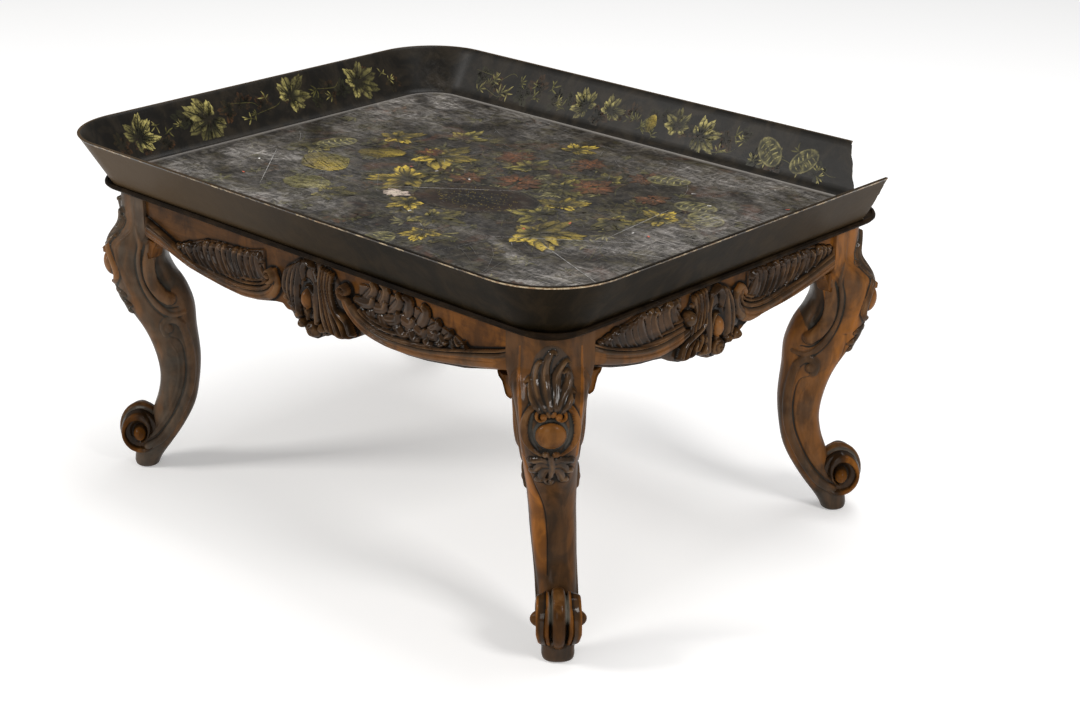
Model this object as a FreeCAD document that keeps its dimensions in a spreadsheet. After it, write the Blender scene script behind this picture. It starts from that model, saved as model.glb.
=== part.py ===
"""Tray on stand: a lacquered tray lying in the rebate of a low carved stand.

The origin is on the floor under the middle of the tray, X runs along the long
side, Y along the short side and Z points up. All sizes are in millimetres.
"""

import FreeCAD, Part

import math
import os

import Sketcher
from FreeCAD import Matrix, Placement, Rotation, Vector

# Driving dimensions, in millimetres, angles in degrees

DIMENSIONS = [
    ("rim_length", 800.0, "tray: length over the rim"),
    ("rim_width", 615.0, "tray: width over the rim"),
    ("tray_depth", 59.6, "tray: height of the rim above the tray's underside"),
    ("wall_spread", 35.9, "tray: how far the wall leans out from its foot to the rim"),
    ("base_corner_radius", 50.0, "tray: corner radius at the foot of the wall"),
    ("tray_wall", 4.5, "tray: width of the flat rim, and of the wall in plan"),
    ("tray_floor", 6.0, "tray: thickness of the floor"),
    ("floor_fillet", 7.0, "tray: radius where the floor meets the wall"),
    ("break_length", 110.0, "tray: length lost from the back wall at the broken corner"),
    ("break_width", 91.5, "tray: length lost from the right wall at the broken corner"),
    ("seat_height", 363.4, "stand: height of the surface on which the tray rests"),
    ("seat_gap", 0.3, "tray: least gap between the tray and the seat"),
    ("seat_board_thickness", 9.4, "seat boards: thickness"),
    ("seat_board_width", 52.0, "seat boards: width in plan"),
    ("rebate_clearance", 0.6, "lip: gap between the tray's wall and the top of the lip"),
    ("lip_land", 10.0, "lip: width of the part that carries the tray's foot"),
    ("lip_rise", 2.8, "lip: height of its top above the seat"),
    ("nose_depth", 3.5, "lip: how far the nosing stands out beyond the rebate"),
    ("nose_height", 6.2, "lip: height of the nosing"),
    ("nose_flat", 2.0, "lip: height of the nosing's front"),
    ("cove_step", 1.6, "lip: flat under the cove, beside the seat board"),
    ("lip_corner_radius", 32.0, "lip: corner radius on its inner side"),
    ("post_reveal", 1.9, "posts: how far they lie inside the seat boards' edge"),
    ("post_width", 62.0, "posts: width of the square post"),
    ("post_length", 49.0, "posts: height of the square post"),
    ("post_corner_radius", 30.0, "posts: rounding of the outer corner"),
    ("knee_projection", 7.0, "legs: how far the knee stands out past the post's corner"),
    ("ankle_recess", 44.0, "legs: how far the ankle lies inside the post's corner"),
    ("leg_hollow", 5.3, "legs: how far the back goes past the post's inner corner"),
    ("knee_narrowing", 9.7, "legs: how much narrower the knee is than the post's diagonal"),
    ("ankle_width", 50.0, "legs: width across the shank"),
    ("pad_width", 33.0, "feet: width of the pad on the floor"),
    ("pad_depth", 32.0, "feet: length of the pad on the floor"),
    ("pad_recess", 8.0, "feet: how far the pad lies inside the post's corner"),
    ("pad_chamfer", 4.5, "feet: chamfer round the pad's lower edge"),
    ("scroll_depth", 44.0, "feet: size of the scroll along the leg's diagonal"),
    ("scroll_height", 61.0, "feet: height of the scroll"),
    ("scroll_rise", 19.5, "feet: height of the scroll's underside above the floor"),
    ("scroll_width", 44.0, "feet: width of the scroll"),
    ("scroll_projection", 5.0, "feet: how far the scroll stands out past the post's corner"),
    ("scroll_lobe_width", 15.0, "feet: width of the round lobe down the scroll's front"),
    ("scroll_lobe_rise", 3.0, "feet: how far that lobe stands proud"),
    ("scroll_groove", 4.0, "feet: depth of the hollow in each side of the scroll"),
    ("scroll_band", 7.0, "feet: width of the scroll's outer band"),
    ("eye_diameter", 14.0, "feet: diameter of the button in the scroll's eye"),
    ("eye_rise", 6.5, "feet: how far the button stands out of the scroll's side"),
    ("ear_length", 14.0, "legs: length of the small ear under each apron's end"),
    ("ear_height", 22.0, "legs: height of that ear"),
    ("ear_drop", 7.5, "legs: how far the ear lies below the apron's end"),
    ("ear_thickness", 16.0, "legs: thickness of that ear"),
    ("apron_setback", 4.0, "aprons: how far their faces lie behind the posts' faces"),
    ("apron_thickness", 22.0, "aprons: thickness of the board"),
    ("long_end_height", 47.0, "long aprons: height at the posts"),
    ("long_belly_height", 71.0, "long aprons: height at the belly of each half"),
    ("long_drop_height", 93.0, "long aprons: height over the cartouche"),
    ("long_cartouche_width", 152.0, "long aprons: width of the cartouche"),
    ("short_end_height", 43.0, "short aprons: height at the posts"),
    ("short_belly_height", 65.0, "short aprons: height at the belly of each half"),
    ("short_drop_height", 88.0, "short aprons: height over the cartouche"),
    ("short_cartouche_width", 148.0, "short aprons: width of the cartouche"),
    ("cartouche_rise", 5.0, "aprons: how far the cartouche stands proud"),
    ("rim_bead_post", 20.0, "aprons: width of the C-scroll rim at the posts"),
    ("rim_bead", 15.0, "aprons: width of the C-scroll rim at the belly"),
    ("rim_bead_curl", 12.0, "aprons: width of the C-scroll rim where it ends"),
    ("rim_rise", 7.5, "aprons: how far the C-scroll rim stands proud"),
    ("volute_diameter", 21.0, "aprons: size of the volute in which the rim ends"),
    ("volute_rise", 9.0, "aprons: how far the volute stands proud"),
    ("boss_width", 19.0, "aprons: width of the oval boss"),
    ("boss_height", 33.0, "aprons: height of the oval boss"),
    ("boss_rise", 10.0, "aprons: how far the oval boss stands out of the face"),
    ("tenon_length", 28.0, "aprons: length of the tenons"),
    ("tenon_thickness", 9.0, "aprons: thickness of the tenons"),
    ("tenon_shoulder", 6.0, "aprons: shoulder above and below the tenons"),
    ("block_height", 40.0, "corner blocks: height"),
    ("block_reach", 69.0, "corner blocks: how far they run past the post"),
    ("block_screw_offset", 30.0, "corner blocks: distance of the screws past the post"),
    ("block_screw_grip", 18.0, "corner blocks: wood under the screw heads"),
    ("block_screw_length", 35.0, "block screws: length"),
    ("screw_diameter", 4.0, "screws: diameter of the shank"),
    ("screw_head_diameter", 8.0, "screws: diameter of the head"),
    ("screw_head_height", 2.5, "screws: height of the flat head"),
    ("counterbore_clearance", 0.5, "screws: room round the heads in their holes"),
    ("key_length", 30.0, "mitre keys: length across the mitre"),
    ("key_width", 24.0, "mitre keys: width along the mitre"),
    ("key_thickness", 3.0, "mitre keys: thickness"),
    ("overrun", 20.0, "how far cutting tools run past what they cut"),
]

# Cabriole leg, from under the seat to the floor. Each row is one section: its
# height as a share of the leg's height, its front from 0 at the ankle to 1 at
# the knee, its back as a share of LEG_SWEEP, and its width as a share of the
# knee's width or the ankle's width.

KNEE_SECTION_SHARES = [
    (0.978, 0.53, 0.71, 0.66),
    (0.932, 0.70, 0.73, 0.84),
    (0.881, 0.85, 0.71, 0.96),
    (0.831, 0.98, 0.67, 0.98),
    (0.777, 1.00, 0.68, 0.93),
    (0.720, 0.95, 0.77, 0.88),
    (0.664, 0.86, 0.89, 0.84),
    (0.607, 0.71, 0.95, 0.79),
    (0.551, 0.47, 0.975, 0.755),
]
SHANK_SECTION_SHARES = [
    (0.480, 0.20, 0.99, 1.10),
    (0.400, 0.05, 1.00, 1.03),
    (0.330, 0.00, 0.99, 1.00),
    (0.265, 0.08, 0.945, 0.97),
    (0.200, 0.30, 0.86, 0.92),
    (0.130, 0.50, 0.71, 0.84),
    (0.070, 0.66, 0.54, 0.74),
]
SECTION_ROUND_SHARE = 0.8

# Where the hollow edge of an ear passes, in from its corner and its tip.

EAR_HOLLOW_SHARE = 0.33

# How many flats the round forms have.

SCREW_SIDES = 8
SCROLL_SIDES = 16
BUTTON_SIDES = 10
BEAD_SIDES = 8

# Lower edge of each half of an apron, from the post (1) to the cartouche (0),
# with its drop from the height at the post (0) to the height at the belly (1).

APRON_EDGE_SHARES = [(1.0, 0.0), (0.79, 0.41), (0.58, 0.77), (0.25, 1.0), (0.0, 0.85)]

# Rim of each half: the turn up to its volute, as shares of the cartouche's half
# width along the apron and of the belly's height down from the top.

RIM_CURL_SHARES = [(0.87, 0.86), (0.73, 0.72), (0.70, 0.52)]
RIM_FULL_SHARE = 0.55
RIM_SECTIONS = 8

# Outline of half a cartouche, from its foot to its crown, as shares of its
# half width and of the apron's height over it.

CARTOUCHE_SHARES = [
    (0.00, 1.00), (0.16, 0.985), (0.30, 0.92), (0.46, 0.84), (0.70, 0.87), (0.90, 0.77),
    (0.80, 0.60), (0.62, 0.42), (0.50, 0.24), (0.34, 0.10), (0.00, 0.05),
]
BOSS_CENTRE_SHARE = 0.50

# Section of a button on an apron: out from its foot, and its size there.

DOME_SHARES = [(-0.4, 1.0), (0.5, 1.0), (0.85, 0.7), (1.0, 0.3)]

# The hollow of the cove under the lip, out and up from its foot.

COVE_SHARES = (0.30, 0.62)

# Broken corner of the tray in plan, from the end of the back wall to the end
# of the right wall, as shares of break_length and of break_width.

BREAK_SHARES = [
    (1.00, 0.00), (0.845, 0.14), (0.724, 0.26), (0.564, 0.45),
    (0.436, 0.67), (0.315, 0.89), (0.195, 0.885), (0.00, 1.00),
]

# Four corners with a smaller product of their edges than this lie in a plane.

FLATNESS = 1e-6

SIDES = {"front_left": (-1, -1), "front_right": (1, -1), "back_right": (1, 1), "back_left": (-1, 1)}

doc = FreeCAD.newDocument("TrayOnStand")
sheet = doc.addObject("Spreadsheet::Sheet", "Dimensions")
for row, (alias, value, note) in enumerate(DIMENSIONS, start=1):
    sheet.set(f"A{row}", note)
    sheet.set(f"B{row}", str(value))
    sheet.setAlias(f"B{row}", alias)
doc.recompute()


class Size:
    """A size that knows its number and the sheet expression that gives it."""

    def __init__(self, number, text):
        self.number = float(number)
        self.text = text

    def combine(self, other, sign, number):
        text = other.text if isinstance(other, Size) else repr(other)
        return Size(number, f"({self.text} {sign} {text})")

    def __add__(self, other):
        return self.combine(other, "+", self.number + float(other))

    def __sub__(self, other):
        return self.combine(other, "-", self.number - float(other))

    def __mul__(self, other):
        return self.combine(other, "*", self.number * float(other))

    def __truediv__(self, other):
        return self.combine(other, "/", self.number / float(other))

    def __neg__(self):
        return Size(-self.number, f"(0 - {self.text})")

    def __float__(self):
        return self.number


class Sizes:
    """The sheet's values, one Size for each alias."""


D = Sizes()
for alias, _value, _note in DIMENSIONS:
    setattr(D, alias, Size(sheet.get(alias), f"Dimensions.{alias}"))

# Sizes that several pieces share, worked out from the driving dimensions

ZERO = Size(0, "0")
HALF_RIM = (D.rim_length / 2, D.rim_width / 2)
HALF_BASE = tuple(HALF_RIM[i] - D.wall_spread for i in (0, 1))
UNDERSIDE = D.seat_height + D.seat_gap
RIM_TOP = UNDERSIDE + D.tray_depth
FLARE = D.wall_spread / D.tray_depth
LAND = D.lip_land + FLARE * (D.lip_rise - D.seat_gap) + D.rebate_clearance
HALF_FRAME = tuple(HALF_BASE[i] - D.lip_land for i in (0, 1))
HALF_STAND = tuple(HALF_FRAME[i] - D.post_reveal for i in (0, 1))
POST_INNER = tuple(HALF_STAND[i] - D.post_width for i in (0, 1))
APRON_FACE = tuple(HALF_STAND[i] - D.apron_setback for i in (0, 1))
APRON_BACK = tuple(APRON_FACE[i] - D.apron_thickness for i in (0, 1))
POST_DIAGONAL = D.post_width * math.sqrt(2)
LEG_SWEEP = POST_DIAGONAL + D.leg_hollow
KNEE_WIDTH = POST_DIAGONAL - D.knee_narrowing
RAIL_TOP = D.seat_height - D.seat_board_thickness
BLOCK_BOTTOM = RAIL_TOP - D.block_height
UP, OUTWARD, INWARD = Vector(0, 0, 1), Vector(1, 0, 0), Vector(0, 1, 0)
SCROLL_CENTRE = Vector(
    float(D.scroll_projection - D.scroll_depth / 2), 0, float(D.scroll_rise + D.scroll_height / 2)
)
BLOCK_SCREW_HEIGHT = RAIL_TOP - D.block_height / 2


def bind(thing, **sizes):
    """Bind properties of a document object to the sheet."""
    for name, size in sizes.items():
        setattr(thing, name, float(size))
        thing.setExpression(name, size.text)


def place(thing, x=None, y=None, z=None, rotation=None):
    """Place a document object, with its position bound to the sheet."""
    thing.Placement = Placement(
        Vector(*(float(size) if size else 0 for size in (x, y, z))), rotation or Rotation()
    )
    for axis, size in (("x", x), ("y", y), ("z", z)):
        if size:
            thing.setExpression(f".Placement.Base.{axis}", size.text)
    return thing


def box(name, corner, length, width, height):
    """A box bound to the sheet, with its lowest corner at corner."""
    thing = doc.addObject("Part::Box", name)
    bind(thing, Length=length, Width=width, Height=height)
    return place(thing, *corner)


def rod(name, start, diameter, height, direction):
    """A many-sided rod bound to the sheet, from start along direction."""
    thing = doc.addObject("Part::Prism", name)
    thing.Polygon = SCREW_SIDES
    bind(thing, Circumradius=diameter / 2, Height=height)
    return place(thing, *start, Rotation(Vector(0, 0, 1), Vector(*direction)))


def fuse(name, things):
    """One solid from several document objects."""
    thing = doc.addObject("Part::MultiFuse", name)
    thing.Shapes = things
    return thing


def cut(name, base, tools):
    """A document object with one or more others cut out of it."""
    thing = doc.addObject("Part::Cut", name)
    thing.Base = base
    thing.Tool = tools[0] if len(tools) == 1 else fuse(f"{name}_tools", tools)
    return thing


def common(name, base, tool):
    """What two document objects share."""
    thing = doc.addObject("Part::Common", name)
    thing.Base = base
    thing.Tool = tool
    return thing


def group(name, things):
    """Equal separate solids under one name."""
    thing = doc.addObject("Part::Compound", name)
    thing.Links = things
    return thing


def feature(name, shape, placement=None):
    """A carved form, whose shape is made from the sheet's values in code."""
    thing = doc.addObject("Part::Feature", name)
    thing.Shape = shape
    thing.Placement = placement or Placement()
    return thing


def pin_point(sketch, curve, end, point):
    """Fix one end of a sketch curve at a point that is bound to the sheet."""
    for kind, size in zip(("DistanceX", "DistanceY"), point):
        number = sketch.addConstraint(Sketcher.Constraint(kind, -1, 1, curve, end, float(size)))
        sketch.setExpression(f"Constraints[{number}]", size.text)


def outline(sketch, points, arcs=None):
    """Draw a closed outline through points. An arc replaces side i where arcs[i]
    gives its radius and its centre."""
    arcs = arcs or {}
    for index, point in enumerate(points):
        after = points[(index + 1) % len(points)]
        ends = [Vector(float(x), float(y), 0) for x, y in (point, after)]
        if index in arcs:
            radius, centre = arcs[index]
            middle = Vector(float(centre[0]), float(centre[1]), 0)
            angles = [math.atan2(end.y - middle.y, end.x - middle.x) for end in ends]
            circle = Part.Circle(middle, Vector(0, 0, 1), float(radius))
            curve = sketch.addGeometry(Part.ArcOfCircle(circle, angles[0], angles[1]), False)
            sketch.addConstraint(Sketcher.Constraint("Radius", curve, float(radius)))
            sketch.setExpression(f"Constraints[{sketch.ConstraintCount - 1}]", radius.text)
        else:
            curve = sketch.addGeometry(Part.LineSegment(*ends), False)
        pin_point(sketch, curve, 1, point)
    for index in range(len(points)):
        after = (index + 1) % len(points)
        sketch.addConstraint(Sketcher.Constraint("Coincident", index, 2, after, 1))


def rounded_outline(sketch, half_x, half_y, radius):
    """Draw a rectangle with rounded corners about the origin."""
    points, arcs = [], {}
    inner_x, inner_y = half_x - radius, half_y - radius
    for side_x, side_y, first in ((1, -1, "x"), (1, 1, "y"), (-1, 1, "x"), (-1, -1, "y")):
        on_y_side = (inner_x * side_x, half_y * side_y)
        on_x_side = (half_x * side_x, inner_y * side_y)
        pair = [on_y_side, on_x_side] if first == "x" else [on_x_side, on_y_side]
        arcs[len(points)] = (radius, (inner_x * side_x, inner_y * side_y))
        points.extend(pair)
    outline(sketch, points, arcs)


def loose_sketch(name, height=None):
    """A sketch on a level plane, outside any body."""
    sketch = doc.addObject("Sketcher::SketchObject", name)
    return place(sketch, z=height) if height else sketch


def prism(name, sketch, height):
    """A straight extrusion of a level sketch."""
    thing = doc.addObject("Part::Extrusion", name)
    thing.Base = sketch
    thing.DirMode = "Custom"
    thing.Dir = Vector(0, 0, 1)
    thing.Solid = True
    bind(thing, LengthFwd=height)
    return thing


def body_sketch(body, name, height):
    """A sketch of a body, on a plane parallel to its XY plane."""
    sketch = body.newObject("Sketcher::SketchObject", name)
    plane = next(item for item in body.Origin.OriginFeatures if item.Role == "XY_Plane")
    sketch.AttachmentSupport = [(plane, "")]
    sketch.MapMode = "FlatFace"
    sketch.AttachmentOffset = Placement(Vector(0, 0, float(height)), Rotation())
    sketch.setExpression(".AttachmentOffset.Base.z", height.text)
    return sketch


# Tray


def make_tray():
    """The tray: two lofts for the flared wall, a fillet, and the broken corner."""
    body = doc.addObject("PartDesign::Body", "tray")
    sections = {}
    floor_top = UNDERSIDE + D.tray_floor
    for name, outward, height in (
        ("tray_foot", ZERO, UNDERSIDE),
        ("tray_rim", D.wall_spread, RIM_TOP),
        ("tray_floor_edge", FLARE * D.tray_floor - D.tray_wall, floor_top),
        ("tray_mouth", D.wall_spread - D.tray_wall, RIM_TOP),
    ):
        sections[name] = body_sketch(body, name, height)
        half = tuple(HALF_BASE[i] + outward for i in (0, 1))
        rounded_outline(sections[name], *half, D.base_corner_radius + outward)
    doc.recompute()
    shell = body.newObject("PartDesign::AdditiveLoft", "tray_shell")
    shell.Profile = sections["tray_foot"]
    shell.Sections = [sections["tray_rim"]]
    shell.Ruled = True
    doc.recompute()
    hollow = body.newObject("PartDesign::SubtractiveLoft", "tray_hollow")
    hollow.Profile = sections["tray_floor_edge"]
    hollow.Sections = [sections["tray_mouth"]]
    hollow.Ruled = True
    doc.recompute()
    edges = [
        f"Edge{number}"
        for number, edge in enumerate(hollow.Shape.Edges, start=1)
        if all(abs(vertex.Z - float(floor_top)) < float(D.seat_gap) for vertex in edge.Vertexes)
    ]
    rounding = body.newObject("PartDesign::Fillet", "tray_floor_fillet")
    rounding.Base = (hollow, edges)
    bind(rounding, Radius=D.floor_fillet)
    doc.recompute()
    break_sketch = body_sketch(body, "tray_break_outline", RIM_TOP)
    points = [
        (HALF_RIM[0] - D.break_length * along, HALF_RIM[1] - D.break_width * across)
        for along, across in BREAK_SHARES
    ]
    points[0] = (points[0][0], HALF_RIM[1] + D.overrun)
    points[-1] = (HALF_RIM[0] + D.overrun, points[-1][1])
    points.append((HALF_RIM[0] + D.overrun, HALF_RIM[1] + D.overrun))
    outline(break_sketch, points)
    doc.recompute()
    broken = body.newObject("PartDesign::Pocket", "tray_break")
    broken.Profile = break_sketch
    broken.Type = "ThroughAll"
    broken.Reversed = False
    doc.recompute()
    return body


# Seat boards, lip mouldings and mitre keys


def make_mitre_wedges():
    """Four prisms that share the ring round the stand out at its mitres."""
    ridge = HALF_FRAME[0] - HALF_FRAME[1]
    far = (HALF_RIM[0] + D.overrun, HALF_RIM[0] + D.overrun - ridge)
    outlines = {
        "front": [(-far[0], -far[1]), (far[0], -far[1]), (ridge, ZERO), (-ridge, ZERO)],
        "back": [(far[0], far[1]), (-far[0], far[1]), (-ridge, ZERO), (ridge, ZERO)],
        "left": [(-far[0], far[1]), (-far[0], -far[1]), (-ridge, ZERO)],
        "right": [(far[0], -far[1]), (far[0], far[1]), (ridge, ZERO)],
    }
    wedges = {}
    for side, points in outlines.items():
        sketch = loose_sketch(f"mitre_outline_{side}", RAIL_TOP - D.overrun)
        outline(sketch, points)
        wedges[side] = prism(f"mitre_wedge_{side}", sketch, D.seat_board_thickness + D.overrun * 2)
    return wedges


def make_seat_boards(wedges):
    """The flat mitred frame on which the tray rests."""
    outer = loose_sketch("seat_outline", RAIL_TOP)
    rounded_outline(outer, *HALF_FRAME, D.lip_corner_radius)
    plate = prism("seat_plate", outer, D.seat_board_thickness)
    inner = tuple(HALF_FRAME[i] - D.seat_board_width for i in (0, 1))
    opening = box(
        "seat_opening",
        (-inner[0], -inner[1], RAIL_TOP - D.overrun),
        inner[0] * 2,
        inner[1] * 2,
        D.seat_board_thickness + D.overrun * 2,
    )
    ring = cut("seat_ring", plate, [opening])
    slots = fuse("key_slots", make_keys("key_slot"))
    slotted = cut("seat_ring_slotted", ring, [slots])
    return [common(f"seat_board_{side}", slotted, wedge) for side, wedge in wedges.items()]


def make_keys(prefix):
    """Four thin tongues, each lying level across the middle of a mitre."""
    keys = []
    half_length, half_width = D.key_length / 2, D.key_width / 2
    middle = D.seat_board_width / 2
    bottom = RAIL_TOP + (D.seat_board_thickness - D.key_thickness) / 2
    for name, (side_x, side_y) in SIDES.items():
        key = box(
            f"{prefix}_{name}",
            (
                (HALF_FRAME[0] - middle) * side_x,
                (HALF_FRAME[1] - middle) * side_y,
                bottom,
            ),
            D.key_length,
            D.key_width,
            D.key_thickness,
        )
        turn = Rotation(Vector(0, 0, 1), 45 * side_x * side_y + 90)
        shift = turn.multVec(Vector(1, 0, 0)), turn.multVec(Vector(0, 1, 0))
        corner_x = (HALF_FRAME[0] - middle) * side_x - half_length * shift[0].x - half_width * shift[1].x
        corner_y = (HALF_FRAME[1] - middle) * side_y - half_length * shift[0].y - half_width * shift[1].y
        keys.append(place(key, corner_x, corner_y, bottom, turn))
    return keys


def make_lip_mouldings(wedges):
    """The ebonised nosing: one section swept round the stand, cut at the mitres."""
    path = loose_sketch("lip_path", RAIL_TOP)
    rounded_outline(path, *HALF_FRAME, D.lip_corner_radius)
    section = doc.addObject("Sketcher::SketchObject", "lip_section")
    place(section, z=RAIL_TOP, rotation=Rotation(Vector(1, 0, 0), 90))
    start = HALF_FRAME[0]
    wall = start + LAND
    top = D.seat_board_thickness + D.lip_rise
    under = top - D.nose_height
    tip = wall + D.nose_depth
    chamfer = (D.nose_height - D.nose_flat) / 2
    foot = start + D.cove_step
    hollow = (foot + (tip - foot) * COVE_SHARES[0], under * COVE_SHARES[1])
    points = [
        (start, ZERO),
        (foot, ZERO),
        hollow,
        (tip - chamfer, under),
        (tip, under + chamfer),
        (tip, top - chamfer),
        (tip - chamfer / 2, top),
        (wall, top),
        (wall, D.seat_board_thickness),
        (start, D.seat_board_thickness),
    ]
    outline(section, points)
    sweep = doc.addObject("Part::Sweep", "lip_ring")
    sweep.Sections = [section]
    sweep.Spine = (path, [f"Edge{number}" for number in range(1, 9)])
    sweep.Solid = True
    sweep.Frenet = False
    return [common(f"lip_moulding_{side}", sweep, wedge) for side, wedge in wedges.items()]


# Legs. A leg is made about its post's outer corner: u points outward along the
# diagonal, v across it, and z up.


def flat_face(points):
    """The flat face that has these corners."""
    return Part.Face(Part.makePolygon(points + points[:1]))


def skin(rings):
    """A solid with flat faces over rings that have as many points each."""
    faces = [flat_face(rings[0]), flat_face(rings[-1])]
    for above, below in zip(rings, rings[1:]):
        for index, start in enumerate(above):
            after = (index + 1) % len(above)
            quad = [start, above[after], below[after], below[index]]
            edges = [corner - start for corner in quad[1:]]
            if abs(edges[0].cross(edges[1]).dot(edges[2])) < FLATNESS:
                faces.append(flat_face(quad))
            else:
                faces += [flat_face(quad[:3]), flat_face([quad[2], quad[3], start])]
    return Part.makeSolid(Part.makeShell(faces))


def polygon(centre, first, second, first_radius, second_radius, sides):
    """The corners of a polygon on an ellipse about a centre."""
    points = []
    for index in range(sides):
        angle = 2 * math.pi * (index + 0.5) / sides
        points.append(
            centre + first * (first_radius * math.cos(angle)) + second * (second_radius * math.sin(angle))
        )
    return points


def leg_section(front, back, width, height):
    """The corners of a section across the leg: a rectangle whose corners have two
    flats. Its sides keep their directions from section to section, so the faces
    between two sections are flat."""
    middle, depth = (front + back) / 2, (front - back) / 2
    corner = SECTION_ROUND_SHARE * min(depth, width / 2)
    cut_in = corner * (1 - math.cos(math.pi / 4))
    quarter = [
        (depth, width / 2 - corner),
        (depth - cut_in, width / 2 - cut_in),
        (depth - corner, width / 2),
    ]
    points = [Vector(middle + u, v, height) for u, v in quarter]
    points += [Vector(middle - u, v, height) for u, v in reversed(quarter)]
    points += [Vector(middle - u, -v, height) for u, v in quarter]
    points += [Vector(middle + u, -v, height) for u, v in reversed(quarter)]
    return points


def oval_disc(depth, height, width, sides):
    """A disc across the leg, in the middle of the scroll, with small flats."""
    edge = polygon(SCROLL_CENTRE - Vector(0, width / 2, 0), UP, OUTWARD, height / 2, depth / 2, sides)
    return flat_face(edge).extrude(Vector(0, width, 0))


def make_leg_sweep():
    """The S of the leg, from under the seat to the pad on the floor."""
    top = float(RAIL_TOP)
    knee, recess = float(D.knee_projection), float(D.ankle_recess)
    sections = []
    for shares, width in ((KNEE_SECTION_SHARES, KNEE_WIDTH), (SHANK_SECTION_SHARES, D.ankle_width)):
        for height, front, back, across in shares:
            sections.append(
                leg_section(
                    front * (knee + recess) - recess,
                    -back * float(LEG_SWEEP),
                    across * float(width),
                    height * top,
                )
            )
    front, chamfer = -float(D.pad_recess), float(D.pad_chamfer)
    back, width = front - float(D.pad_depth), float(D.pad_width)
    sections.append(leg_section(front, back, width, chamfer))
    sections.append(leg_section(front - chamfer, back + chamfer, width - 2 * chamfer, 0))
    return skin(sections)


def make_scroll():
    """The scroll toe: a disc with a round lobe, hollow sides and two buttons."""
    depth, height, width = float(D.scroll_depth), float(D.scroll_height), float(D.scroll_width)
    band, rise = 2 * float(D.scroll_band), 2 * float(D.scroll_lobe_rise)
    groove = float(D.scroll_groove)
    scroll = oval_disc(depth, height, width, SCROLL_SIDES)
    for side in (1, -1):
        hollow = oval_disc(depth - band, height - band, width, SCROLL_SIDES)
        hollow.translate(Vector(0, side * (width - groove), 0))
        scroll = scroll.cut(hollow)
    lobe = oval_disc(depth + rise, height + rise, float(D.scroll_lobe_width), SCROLL_SIDES)
    eye = float(D.eye_diameter)
    eyes = oval_disc(eye, eye, width + 2 * float(D.eye_rise), BUTTON_SIDES)
    return scroll.fuse([lobe, eyes])


def make_ear():
    """The small bracket under an apron's end, seen along v and x of the corner."""
    length, height = float(D.ear_length), float(D.ear_height)
    top = float(RAIL_TOP) - max(float(D.long_end_height), float(D.short_end_height)) - float(D.ear_drop)
    root = -float(D.post_width) / 2
    edge = -float(D.post_width) - length
    thickness = float(D.ear_thickness)
    face = -float(D.apron_setback)
    corner = Vector(-float(D.post_width), face, top - height)
    tip = Vector(edge, face, top)
    hollow = Vector(
        corner.x + (tip.x - corner.x) * EAR_HOLLOW_SHARE, face, tip.z + (corner.z - tip.z) * EAR_HOLLOW_SHARE
    )
    edges = [
        Part.LineSegment(Vector(root, face, top), tip).toShape(),
        Part.Arc(tip, hollow, corner).toShape(),
        Part.LineSegment(corner, Vector(root, face, corner.z)).toShape(),
        Part.LineSegment(Vector(root, face, corner.z), Vector(root, face, top)).toShape(),
    ]
    ear = Part.Face(Part.Wire(edges)).extrude(Vector(0, -thickness, 0))
    other = ear.mirror(Vector(0, 0, 0), Vector(1, -1, 0))
    return [ear, other]


def make_leg_shape():
    """One whole leg about its post's outer corner, in the corner's own axes."""
    post_width, top = float(D.post_width), float(RAIL_TOP)
    post = Part.makeBox(
        post_width, post_width, float(D.post_length),
        Vector(-post_width, -post_width, top - float(D.post_length)),
    )
    outer = [
        edge for edge in post.Edges
        if all(max(abs(vertex.X), abs(vertex.Y)) < float(D.seat_gap) for vertex in edge.Vertexes)
    ]
    post = post.makeFillet(float(D.post_corner_radius), outer)
    sweep = make_leg_sweep().fuse(make_scroll())
    sweep.rotate(Vector(0, 0, 0), Vector(0, 0, 1), 45)
    leg = post.fuse([sweep] + make_ear())
    leg = leg.removeSplitter()
    tenon_middle = float(D.apron_setback) + float(D.apron_thickness) / 2
    half_tenon = float(D.tenon_thickness) / 2
    for end_height, turned in ((D.long_end_height, False), (D.short_end_height, True)):
        mortise = Part.makeBox(
            float(D.tenon_length), 2 * half_tenon, float(end_height) - 2 * float(D.tenon_shoulder),
            Vector(
                -post_width, -tenon_middle - half_tenon,
                top - float(end_height) + float(D.tenon_shoulder),
            ),
        )
        leg = leg.cut(mortise.mirror(Vector(0, 0, 0), Vector(1, -1, 0)) if turned else mortise)
    return leg


def make_legs():
    """The four legs: one shape, turned to each corner."""
    shape = make_leg_shape()
    legs = []
    turned = shape.mirror(Vector(0, 0, 0), Vector(1, -1, 0))
    for name, (side_x, side_y) in SIDES.items():
        same = side_x == side_y
        angle = 0 if side_x == side_y == 1 else 180 if same else 90 if side_y == 1 else -90
        corner = Vector(side_x * float(HALF_STAND[0]), side_y * float(HALF_STAND[1]), 0)
        placement = Placement(corner, Rotation(Vector(0, 0, 1), angle))
        legs.append(feature(f"leg_{name}", shape.copy() if same else turned.copy(), placement))
    return legs


# Aprons. An apron is made on its face: x along it from its middle, z up from
# the floor, and its face at y = 0 looking along -y.


def arcs_through(points):
    """Arcs that meet at every second point and pass through those between."""
    return [
        Part.Arc(*points[index:index + 3]).toShape() for index in range(0, len(points) - 2, 2)
    ]


def spline(points):
    """A smooth curve through a few points."""
    curve = Part.BSplineCurve()
    curve.interpolate(points)
    return curve


def edge_points(half, end, belly, cartouche_half):
    """The lower edge of one half, from the post to the cartouche."""
    top = float(RAIL_TOP)
    return [
        Vector(cartouche_half + along * (half - cartouche_half), 0, top - end - drop * (belly - end))
        for along, drop in APRON_EDGE_SHARES
    ]


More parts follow.
